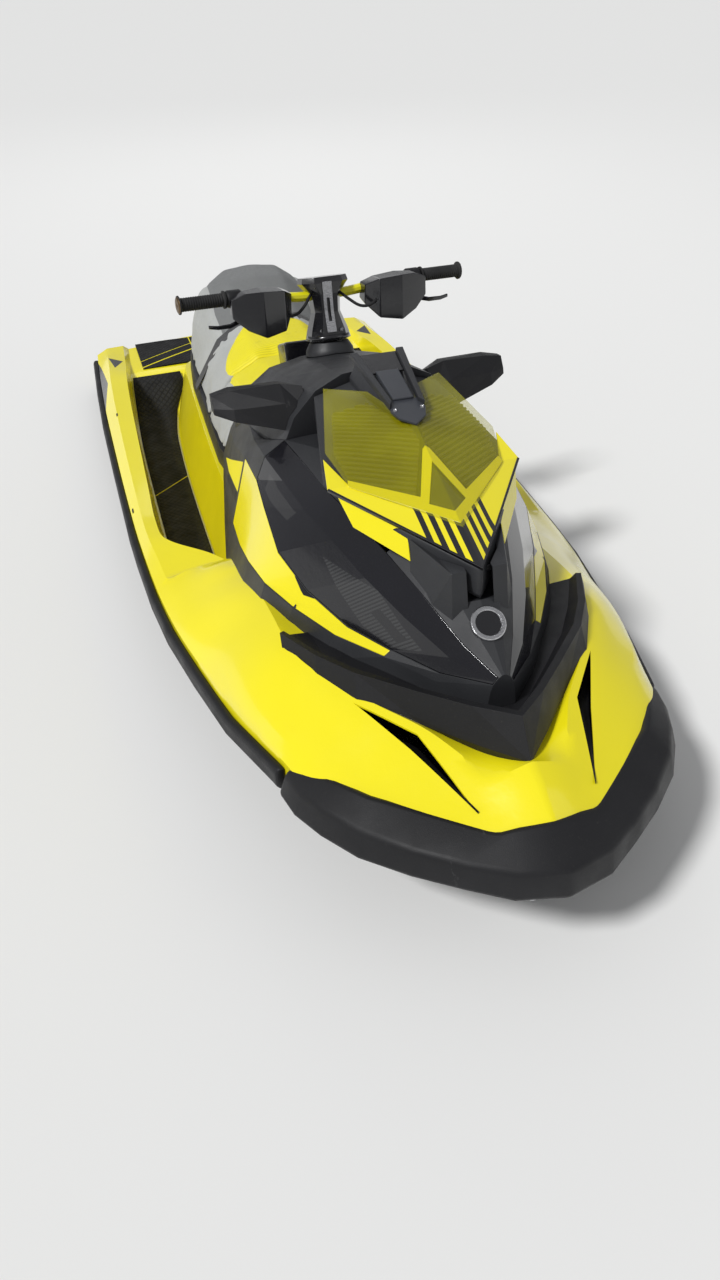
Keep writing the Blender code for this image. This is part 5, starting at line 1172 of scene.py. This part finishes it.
def swollen(item):
    """Blown up by the pressure inside, with no point further from its start than the cap."""
    start = places_of(item)
    cloth = item.modifiers.new("cloth", "CLOTH")
    cloth.settings.use_pressure = True
    cloth.settings.uniform_pressure_force = PRESSURE
    cloth.settings.effector_weights.gravity = 0
    cloth.settings.tension_stiffness = cloth.settings.compression_stiffness = STIFFNESS
    cloth.point_cache.frame_start, cloth.point_cache.frame_end = 1, LAST_FRAME
    for frame_number in range(1, LAST_FRAME + 1):
        bpy.context.scene.frame_set(frame_number)
    applied(item)
    bpy.context.scene.frame_set(1)
    travel = places_of(item) - start
    reach = np.linalg.norm(travel, axis=1, keepdims=True)
    travel *= np.minimum(1, CAP / np.maximum(reach, 1e-9))
    item.data.vertices.foreach_set("co", (start + travel).ravel())
    item.data.update()
    return item


def relaxed(item, grooves):
    """Evens the squares' steps out, then presses the seams in."""
    bm = bmesh.new()
    bm.from_mesh(item.data)
    for _ in range(SMOOTHING_ROUNDS):
        bmesh.ops.smooth_vert(bm, verts=bm.verts, factor=0.5, use_axis_x=True, use_axis_y=True,
                              use_axis_z=True)
    bm.normal_update()
    for depth_at in grooves:
        for vert in bm.verts:
            depth = depth_at(vert.co)
            if depth:
                vert.co -= vert.normal * depth
    bm.to_mesh(item.data)
    bm.free()
    return item


def groove(distance, width, deep=SEAM_DEEP):
    """How deep a seam presses at a distance from its line."""
    return deep * math.exp(-(distance / width) ** 2)


def cushion(node, finish, grooves):
    item = remeshed(node)
    swollen(item)
    relaxed(item, grooves)
    item.data.materials.append(finish)
    faired(item, 1)
    for face in item.data.polygons:
        face.use_smooth = True
    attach(item, "seat")
    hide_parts(node)
    return item


print("cushions start", SHRINK * 1000, "mm small")

# %% [markdown]
# The covers are sewn from panels: a ribbed yellow one on top of the front, light grey ones down the
# flanks, and a darker grey over the hump. The lines between them are where the seams press in, and
# the same numbers choose the colour in the material, so a seam and its change of colour agree.

# %% Panels and seams of the covers
YELLOW_HALF, YELLOW_JOIN, YELLOW_REACH = 0.205, 0.43, 0.25
HUMP_HALF, HUMP_LEAN, HUMP_MIDDLE, HUMP_FROM = 0.170, 0.05, 0.80, 0.64
HUMP_START, HUMP_SLOPE = 0.86, 0.35
FLANK_ALONG, FLANK_LEVEL, FLANK_SLOPE, FLANK_TOP = 0.56, 0.50, 0.9, 0.47
SKIRT_LEVEL, SKIRT_OUT, SKIRT_END = 0.400, 0.05, 0.6
NARROW, MIDDLING, WIDE, SHALLOW = 0.004, 0.005, 0.006, 0.0025
ZONE_SOFT, ABOVE_ALL = 0.0015, 2.0
RIBS_TO_A_METRE = 120.0
LIGHT_VINYL, MID_VINYL, YELLOW_VINYL = (0.40, 0.41, 0.40), (0.17, 0.175, 0.175), (0.84, 0.74, 0.012)
GRIME = (0.07, 0.068, 0.06)


def yellow_edge(co):
    """About how far a point lies outside the yellow panel, in metres."""
    run = max(0.0, co.y - YELLOW_JOIN) / YELLOW_REACH
    return (math.hypot(co.x / YELLOW_HALF, run) - 1) * YELLOW_HALF


def yellow_seam(co):
    return groove(yellow_edge(co), MIDDLING) if co.z > SKIRT_LEVEL else 0


def skirt_seam(co):
    near = yellow_edge(co) < SKIRT_OUT and co.y < SKIRT_END
    return groove(co.z - SKIRT_LEVEL, NARROW, SHALLOW) if near else 0


def hump_seam(co):
    half = HUMP_HALF - HUMP_LEAN * abs(co.y - HUMP_MIDDLE)
    return groove(abs(co.x) - half, WIDE) if co.z > SKIRT_LEVEL and co.y > HUMP_FROM else 0


def hump_front_seam(co):
    return groove(co.y + HUMP_SLOPE * co.z - HUMP_START, WIDE) if co.z > SKIRT_LEVEL else 0


def flank_seam(co):
    """A straight slanting seam down each flank."""
    middle = FLANK_ALONG + FLANK_SLOPE * (FLANK_LEVEL - co.z)
    return groove(co.y - middle, MIDDLING) if co.z < FLANK_TOP else 0


def over_skirt(tree):
    return tree.band(tree.axis(2), SKIRT_LEVEL, ABOVE_ALL, ZONE_SOFT)


def yellow_zone(tree):
    past = tree.sum("SUBTRACT", tree.axis(1), YELLOW_JOIN)
    run = tree.sum("MAXIMUM", 0.0, tree.sum("MULTIPLY", past, 1 / YELLOW_REACH))
    out = tree.sum("MULTIPLY", tree.axis(0), 1 / YELLOW_HALF)
    reach = tree.sum("SQRT", tree.sum("ADD", tree.sum("MULTIPLY", out, out), tree.sum("MULTIPLY", run, run)))
    inside = tree.band(reach, -1.0, 1.0, 0.006)
    return tree.sum("MULTIPLY", inside, over_skirt(tree))


def hump_zone(tree):
    out = tree.sum("ABSOLUTE", tree.axis(0))
    away = tree.sum("ABSOLUTE", tree.sum("SUBTRACT", tree.axis(1), HUMP_MIDDLE))
    edge = tree.sum("SUBTRACT", HUMP_HALF, tree.sum("MULTIPLY", away, HUMP_LEAN))
    inside = tree.band(tree.sum("SUBTRACT", edge, out), 0.0, FAR_OUT, ZONE_SOFT)
    lean = tree.sum("ADD", tree.axis(1), tree.sum("MULTIPLY", tree.axis(2), HUMP_SLOPE))
    inside = tree.sum("MULTIPLY", inside, tree.band(lean, HUMP_START, FAR_OUT, ZONE_SOFT))
    return tree.sum("MULTIPLY", inside, over_skirt(tree))


def sewn_vinyl(name, drift, *greys):
    """Light vinyl with grey zones, and then the ribbed yellow one with painted shade in its valleys, which
    both covers have.
    """
    tree = Tree(name)
    shade = tree.mix(tree.ramp(tree.noise(5, 4), 0.35, 0.65), tuple(c * (1 - drift) for c in LIGHT_VINYL),
                     tuple(c * (1 + drift) for c in LIGHT_VINYL))
    for zone in greys:
        shade = tree.mix(zone(tree), shade, MID_VINYL)
    ribbed = yellow_zone(tree)
    shade = tree.mix(ribbed, shade, YELLOW_VINYL)
    normal = tree.bump(tree.cells(620), 0.0005, 0.6)
    wave = tree.sum("FRACT", tree.sum("MULTIPLY", tree.axis(1), RIBS_TO_A_METRE))
    # Painted shade: the valleys between the yellow ribs are darkened.
    valley_shade = tree.sum("MULTIPLY", tree.band(wave, 0.0, 0.25, 0.12), ribbed)
    shade = tree.mix(tree.sum("MULTIPLY", valley_shade, 0.35), shade, tuple(c * 0.5 for c in YELLOW_VINYL))
    normal = tree.bump(tree.sum("SUBTRACT", 1.0, valley_shade), 0.0012, 0.7, normal)
    grime = tree.ramp(tree.noise(30, 8, 0.7), 0.58, 0.82, 0.0, 0.30)
    shade = tree.mix(grime, shade, GRIME)
    even = tree.ramp(tree.noise(90, 4), 0.3, 0.7, 0.42, 0.58)
    return tree.finish(shade, even, normal, Specular_IOR_Level=0.4)


front_cover = sewn_vinyl("front_cover", 0.03)
rear_cover = sewn_vinyl("rear_cover", 0.05, hump_zone)
made["seat_front"] = cushion("seat_front", front_cover, (yellow_seam, skirt_seam))
made["seat_rear"] = cushion("seat_rear", rear_cover,
                            (yellow_seam, hump_seam, hump_front_seam, flank_seam))
print("cushions:", len(made["seat_front"].data.polygons), len(made["seat_rear"].data.polygons), "faces")

# %% [markdown]
# ## Footwell mats
#
# The floor of each footwell is covered by a foam mat from the pedestal to the gunwale, and on up the
# ramp to the platform. It follows the deck's own lines, so it is lofted from the same table, a few
# millimetres higher.

# %% Footwell mats
MAT_ENDS = (-3.30, 11.55)
MAT_MARGIN, MAT_ABOVE = 0.05, 0.05
MAT_SECTIONS, MAT_SHARES = 40, (0, 0.25, 0.5, 0.75, 1)
FOAM = 0.006


def make_mat(node, side):
    stations = np.linspace(*MAT_ENDS, MAT_SECTIONS)
    chains = []
    for row in fair_columns(DECK_LINES, stations):
        inner, inner_level, outer, outer_level = row[4], row[5], row[6], row[7]
        chain = []
        for share in MAT_SHARES:
            x = inner + MAT_MARGIN + (outer - inner - 2 * MAT_MARGIN) * share
            level = inner_level + (outer_level - inner_level) * share + MAT_ABOVE
            chain.append(keel_place(side * x, row[0], level))
        chains.append(chain)
    bm = bridged(chains)
    away_from(bm, (side * 0.43, 0.4, -3))
    item = piece(node + "_finished", bm, footwell_foam, "root", node, outward=False)
    return walled(item, FOAM, 0)


for name, side in SIDES:
    made["footwell_mat_" + name] = make_mat("footwell_mat_" + name, side)
print("mats:", len(made["footwell_mat_port"].data.polygons), "faces each")

# %% [markdown]
# ## Badge
#
# The badge is a chromed ring round a plain black disc. Its profile is spun about its own axis.

# %% Badge
BADGE_CENTRE, BADGE_AXIS = keel_place(0, -12.05, 8.17), Vector((0, -0.54, 0.84))
RING_PROFILE = ((0.026, 0.000), (0.026, 0.0045), (0.0275, 0.0062), (0.034, 0.0062), (0.0358, 0.0045),
                (0.0358, -0.004))
DISC_PROFILE = ((0.0, 0.0042), (0.014, 0.0040), (0.0268, 0.0030), (0.0268, -0.003))


def spun(profile, centre, axis, steps=48):
    """A profile of radius and height, turned once round an axis."""
    bm = bmesh.new()
    verts = [bm.verts.new((r, 0, h)) for r, h in profile]
    edges = [bm.edges.new(pair) for pair in zip(verts, verts[1:])]
    bmesh.ops.spin(bm, geom=verts + edges, cent=(0, 0, 0), axis=(0, 0, 1), dvec=(0, 0, 0), angle=2 * math.pi,
                   steps=steps, use_merge=True)
    bmesh.ops.remove_doubles(bm, verts=bm.verts, dist=FINE_WELD)
    bmesh.ops.recalc_face_normals(bm, faces=bm.faces)
    turn = Vector((0, 0, 1)).rotation_difference(Vector(axis)).to_matrix()
    bmesh.ops.rotate(bm, verts=bm.verts, matrix=turn)
    bmesh.ops.translate(bm, verts=bm.verts, vec=centre)
    return bm


ring = piece("badge_ring", spun(RING_PROFILE, BADGE_CENTRE, BADGE_AXIS), bright_steel, "root",
             "badge_disc")
disc = piece("badge_face", spun(DISC_PROFILE, BADGE_CENTRE, BADGE_AXIS), gloss_black, "root")
for item in (ring, disc):
    item.data.set_sharp_from_angle(angle=math.radians(35))
print("badge:", len(ring.data.polygons), "faces")

# %% [markdown]
# ## Steering head
#
# On the column's front lies a bright slotted plate, with screws beside it, and a black collar rings
# the column's foot.

# %% Column plate and collar
COLUMN_FOOT, COLUMN_AXIS = keel_place(0, -0.95, 9.30), Vector((0, 0.2883, 0.9575))
COLUMN_FORE = Vector((0, -0.9575, 0.2883))
PLATE_LINE = ((0.055, 0.0470), (0.082, 0.0400), (0.108, 0.0360), (0.142, 0.0372), (0.182, 0.0415))
PLATE_HALF, SLOT_HALF, PLATE_OFF = 0.0125, 0.0042, 0.002
COLUMN_SCREWS = ((0.027, 0.060, 0.046), (-0.027, 0.060, 0.046), (-0.030, 0.170, 0.039))
COLLAR_PROFILE = ((0.050, -0.004), (0.058, -0.004), (0.060, 0.0), (0.058, 0.007), (0.050, 0.008))
COLLAR_HEIGHT = 0.040


def on_column(x, height, fore):
    return COLUMN_FOOT + Vector((x, 0, 0)) + COLUMN_AXIS * height + COLUMN_FORE * fore


def make_column_plate():
    bm = bmesh.new()
    (foot, *_), (top, *_) = PLATE_LINE[0], PLATE_LINE[-1]
    for (low, near), (high, far) in zip(PLATE_LINE, PLATE_LINE[1:]):
        inner = 0.0 if low == foot or high == top else SLOT_HALF
        for side in (1, -1):
            corners = ((inner, low, near), (PLATE_HALF, low, near), (PLATE_HALF, high, far),
                       (inner, high, far))
            bm.faces.new([bm.verts.new(on_column(side * x, h, f + PLATE_OFF)) for x, h, f in corners])
    bmesh.ops.remove_doubles(bm, verts=bm.verts, dist=FINE_WELD)
    away_from(bm, on_column(0, 0.12, -0.3))
    item = piece("column_plate", bm, bright_steel, "steering", smooth=False, outward=False)
    return rounded(walled(item, 0.003, 0), 0.0006)


make_column_plate()
for number, place in enumerate(COLUMN_SCREWS):
    screw(f"column_screw_{number}", on_column(*place), COLUMN_FORE, 0.005, 0.004, bright_steel, "steering")
piece("column_collar", spun(COLLAR_PROFILE, on_column(0, COLLAR_HEIGHT, 0), COLUMN_AXIS), gloss_black,
      "steering")
print("steering head: plate, collar and", len(COLUMN_SCREWS), "screws")

# %% [markdown]
# The handlebar's fittings are made on the port side, straight across, then mirrored and turned with
# the bar, which rests a few degrees to port. The guards are faceted boxes through five sections, and
# the levers are flat tapered blades. Pods, ridged grips and the bronze plugs in the grips' ends are
# profiles spun round the bar.

# %% Guards, pods, grips and levers
BAR_TURN = Matrix.Rotation(math.radians(8), 3, COLUMN_AXIS)
BAR_LINE = (-0.063, 1.095)
GUARD = (
    (0.105, ((-0.085, 1.045), (-0.050, 1.052), (-0.050, 1.094), (-0.085, 1.096))),
    (0.135, ((-0.125, 1.016), (-0.062, 1.028), (-0.062, 1.110), (-0.112, 1.116))),
    (0.195, ((-0.142, 1.010), (-0.070, 1.028), (-0.068, 1.118), (-0.122, 1.123))),
    (0.240, ((-0.130, 1.030), (-0.078, 1.044), (-0.078, 1.117), (-0.114, 1.121))),
    (0.276, ((-0.114, 1.060), (-0.092, 1.068), (-0.092, 1.102), (-0.106, 1.106))),
)
GRIP_ENDS, GRIP_RADIUS, GRIP_RIDGES = (0.279, 0.401), 0.0162, 17
LEVER = ((0.235, -0.085, 1.062, 0.010), (0.258, -0.104, 1.050, 0.009), (0.285, -0.116, 1.046, 0.008),
         (0.318, -0.120, 1.047, 0.007), (0.342, -0.116, 1.050, 0.006))
LEVER_HALF_THICK, LEVER_SHARE = 0.003, 0.7
POD_PROFILE = ((0.236, 0.010), (0.236, 0.019), (0.240, 0.0215), (0.270, 0.0215), (0.277, 0.0185),
               (0.277, 0.010))
PLUG_PROFILE = ((0.4008, 0.001), (0.4035, 0.006), (0.4035, 0.0185), (0.4008, 0.0205))
BAR_STEPS = 28


def on_bar(bm, side):
    if side < 0:
        bmesh.ops.scale(bm, verts=bm.verts, vec=(-1, 1, 1))
    bmesh.ops.rotate(bm, verts=bm.verts, cent=COLUMN_FOOT, matrix=BAR_TURN)
    return bm


def ringed(sections):
    """A closed skin through rings of points."""
    bm = bmesh.new()
    before = None
    for section in sections:
        verts = [bm.verts.new(place) for place in section]
        edges = [bm.edges.new(pair) for pair in zip(verts, verts[1:] + verts[:1])]
        if before:
            bmesh.ops.bridge_loops(bm, edges=before + edges)
        else:
            bm.faces.new(verts)
        before = edges
    bm.faces.new(verts)
    bmesh.ops.recalc_face_normals(bm, faces=bm.faces)
    return bm


def along_bar(profile):
    """A profile of reach along the bar and radius, spun round it."""
    return spun([(radius, reach) for reach, radius in profile], at(0, *BAR_LINE), (1, 0, 0), BAR_STEPS)


def grip_profile():
    start, end = GRIP_ENDS
    profile = [(start, 0.010), (start, 0.0215), (start + 0.004, 0.0222), (start + 0.007, GRIP_RADIUS)]
    pitch = (end - start - 0.016) / GRIP_RIDGES
    for i in range(GRIP_RIDGES):
        base = start + 0.008 + i * pitch
        profile += [(base, GRIP_RADIUS - 0.0006), (base + pitch * 0.35, GRIP_RADIUS + 0.0008),
                    (base + pitch * 0.65, GRIP_RADIUS + 0.0008)]
    return profile + [(end - 0.007, GRIP_RADIUS), (end - 0.003, 0.0232), (end, 0.0228), (end, 0.010)]


def lever_sections():
    for x, y, level, half in LEVER:
        centre, rise, half_thick = at(x, y, level), half * LEVER_SHARE, LEVER_HALF_THICK
        yield [centre + Vector((0, dy, dz)) for dy, dz in ((-half_thick, -rise), (half_thick, -rise),
                                                           (half_thick, rise), (-half_thick, rise))]


def fitting(node, bm, finish):
    """A piece of the handlebar in place of its CAD node."""
    made[node] = piece(node + "_finished", bm, finish, "steering", node)
    return made[node]


for name, side in SIDES:
    guard = ringed([[at(x, y, level) for y, level in ring] for x, ring in GUARD])
    rounded(fitting("hand_guard_" + name, on_bar(guard, side), gloss_black), 0.0025, FACET)
    blade = on_bar(ringed(lever_sections()), side)
    rounded(fitting("lever_" + name, blade, gloss_black), 0.0016)
    grip = fitting("grip_" + name, on_bar(along_bar(grip_profile()), side), grip_rubber)
    grip.data.set_sharp_from_angle(angle=math.radians(50))
    piece("control_pod_" + name, on_bar(along_bar(POD_PROFILE), side), satin_black, "steering")
    piece("grip_plug_" + name, on_bar(along_bar(PLUG_PROFILE), side), worn_bronze, "steering")
print("handlebar fittings:", [node for node in made if node.startswith(("hand_guard", "lever", "grip"))])

# %% [markdown]
# A black control cable leaves each side of the column's head and bends into the guard.

# %% Control cables
CABLE_DIAMETER = 0.008
CABLES = {"port": ((0.040, -0.062, 1.078), (0.062, -0.082, 1.062), (0.086, -0.096, 1.048),
                   (0.112, -0.098, 1.046), (0.134, -0.092, 1.056)),
          "starboard": ((-0.040, -0.062, 1.078), (-0.062, -0.084, 1.060), (-0.086, -0.098, 1.046),
                        (-0.112, -0.100, 1.044), (-0.134, -0.094, 1.054))}
ROUTE_PLACES, CURVE_STEPS = 22, 20


def smooth_route(points):
    """Places evenly along a smooth curve through the given ones."""
    ends = [2 * points[0] - points[1]] + list(points) + [2 * points[-1] - points[-2]]
    dense = []
    for a, b, c, d in zip(ends, ends[1:], ends[2:], ends[3:]):
        for i in range(CURVE_STEPS):
            s = i / CURVE_STEPS
            dense.append(0.5 * (2 * b + (c - a) * s + (2 * a - 5 * b + 4 * c - d) * s * s
                                + (3 * b - a - 3 * c + d) * s ** 3))
    dense.append(points[-1])
    reach = [0.0]
    for a, b in zip(dense, dense[1:]):
        reach.append(reach[-1] + (b - a).length)
    route = []
    for i in range(ROUTE_PLACES):
        run = reach[-1] * i / (ROUTE_PLACES - 1)
        route.append(Vector([np.interp(run, reach, [p[k] for p in dense]) for k in range(3)]))
    return route


def make_cable(name, points):
    route = smooth_route([at(*point) for point in points])
    curve = bpy.data.curves.new("control_cable_" + name, "CURVE")
    curve.dimensions = "3D"
    curve.bevel_depth, curve.bevel_resolution, curve.use_fill_caps = CABLE_DIAMETER / 2, 3, True
    line = curve.splines.new("POLY")
    line.points.add(len(route) - 1)
    for point, place in zip(line.points, route):
        point.co = (*place, 1)
    item = bpy.data.objects.new("control_cable_" + name, curve)
    bpy.context.scene.collection.objects.link(item)
    curve.materials.append(grip_rubber)
    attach(item, "steering")
    length = sum((b - a).length for a, b in zip(route, route[1:]))
    return round(length, 3)


print("cables:", [make_cable(name, points) for name, points in CABLES.items()], "m")

# %% [markdown]
# The gauge's upper face carries a bright bezel and a dim blank screen. They follow the slope of the
# face: a frame of four strips round a pane.

# %% Gauge screen
GAUGE_X, GAUGE_Y, GAUGE_Z = (-0.088, 0.078), (0.061, 0.148), (0.6463, 0.6078)
BEZEL = 0.007
GAUGE_LEAN, GAUGE_RISE = 0.41, 0.91


def on_gauge(x, share, above):
    y = GAUGE_Y[0] + (GAUGE_Y[1] - GAUGE_Y[0]) * share
    z = GAUGE_Z[0] + (GAUGE_Z[1] - GAUGE_Z[0]) * share
    return Vector((x, y + above * GAUGE_LEAN, z + above * GAUGE_RISE))


def gauge_ring(inset, above):
    step = inset / (GAUGE_Y[1] - GAUGE_Y[0])
    left, right = GAUGE_X[0] + inset, GAUGE_X[1] - inset
    corners = ((left, step), (right, step), (right, 1 - step), (left, 1 - step))
    return [on_gauge(x, share, above) for x, share in corners]


outside, inside = gauge_ring(0.0, 0.002), gauge_ring(BEZEL, 0.002)
strips = [[outside[i - 1], outside[i], inside[i], inside[i - 1]] for i in range(4)]
plate("gauge_bezel", strips, 0.003, bright_steel, "root", radius=0.0006, mirrored=False,
      core=(0, 0, 0))
plate("gauge_screen", [gauge_ring(BEZEL - 0.001, 0.0008)], 0.002, dial_glass, "root",
      radius=0.0002, mirrored=False, core=(0, 0, 0))
print("gauge screen:", round((inside[1] - inside[0]).length * 1000), "mm wide")

# %% [markdown]
# Two small slots on the outside of each gunwale let water out of the deck's edge. Each is a black plate on
# the flank, painted shade that stands for the opening.

# %% Drain slots
DRAINS = {"drain_slot_shade_aft": (0.564, 0.720, 0.194), "drain_slot_shade_fore": (0.589, 0.071, 0.183)}
FLANK, DRAIN_PROUD = Vector((0.78, 0.0, 0.626)), 0.0012
DRAIN_OUTLINE = ((-0.014, 0), (-0.010, 0.0035), (0.010, 0.0035), (0.014, 0), (0.010, -0.0035),
                 (-0.010, -0.0035))
# Painted shade: each slot is a black plate, not an opening.
for name, place in DRAINS.items():
    centre, across = Vector(place) + FLANK * DRAIN_PROUD, FLANK.cross(Vector((0, 1, 0)))
    outline = [centre + Vector((0, reach, 0)) + across * rise for reach, rise in DRAIN_OUTLINE]
    plate(name, [outline], 0.003, satin_black, "root", radius=0.0008)
print("drain slots:", 2 * len(DRAINS))

# %% [markdown]
# ## Stage and light
#
# The craft floats, so the floor stands for the water: it lies at the waterline and hides what is
# under it. A soft sun lamp shines from the starboard side, two weak round lamps fill the port side
# and the stern, and a pale world lights the rest. The world looks brighter to the camera than the
# light it gives, and the pale floor takes the shadow.

# %% Floor, lamps and world
FLOOR_SIZE = 60


def make_floor():
    bm = bmesh.new()
    bmesh.ops.create_grid(bm, x_segments=1, y_segments=1, size=FLOOR_SIZE / 2)
    mesh = bpy.data.meshes.new("floor")
    bm.to_mesh(mesh)
    bm.free()
    floor = bpy.data.objects.new("floor", mesh)
    bpy.context.scene.collection.objects.link(floor)
    floor.data.materials.append(Tree("pale_floor").finish((0.80, 0.80, 0.79, 1), 0.9, Specular_IOR_Level=0.1))


def hung(name, light, place, target):
    lamp = bpy.data.objects.new(name, light)
    bpy.context.scene.collection.objects.link(lamp)
    lamp.location = place
    lamp.rotation_euler = (Vector(target) - Vector(place)).to_track_quat("-Z", "Y").to_euler()


def make_lamp(name, place, target, size, power):
    light = bpy.data.lights.new(name, "AREA")
    light.shape, light.size, light.energy = "DISK", size, power
    hung(name, light, place, target)


def make_sun(name, place, spread, strength):
    light = bpy.data.lights.new(name, "SUN")
    light.angle, light.energy = math.radians(spread), strength
    hung(name, light, place, (0, 0, 0))


make_floor()
make_sun("sun_side", (-3.6, -1.3, 4.6), 9, 2.6)
make_lamp("fill_side", (4.5, -3.5, 3.5), (0, 0, 0.3), 3.5, 18)
make_lamp("stern_side", (1.0, 5.0, 3.5), (0, 0.5, 0.4), 3.0, 20)
world = bpy.data.worlds.new("pale_sky")
bpy.context.scene.world = world
world.use_nodes = True
SKY_SHOWN, SKY_LIGHT = 0.78, 0.34
sky = world.node_tree.nodes["Background"]
sky.inputs["Color"].default_value = (0.97, 0.98, 1.0, 1)
ray = world.node_tree.nodes.new("ShaderNodeLightPath").outputs["Is Camera Ray"]
strength = world.node_tree.nodes.new("ShaderNodeMapRange")
world.node_tree.links.new(ray, strength.inputs["Value"])
strength.inputs["To Min"].default_value, strength.inputs["To Max"].default_value = SKY_LIGHT, SKY_SHOWN
world.node_tree.links.new(strength.outputs["Result"], sky.inputs["Strength"])
bpy.context.scene.view_settings.view_transform = "Standard"
print("lamps:", len(bpy.data.lights))
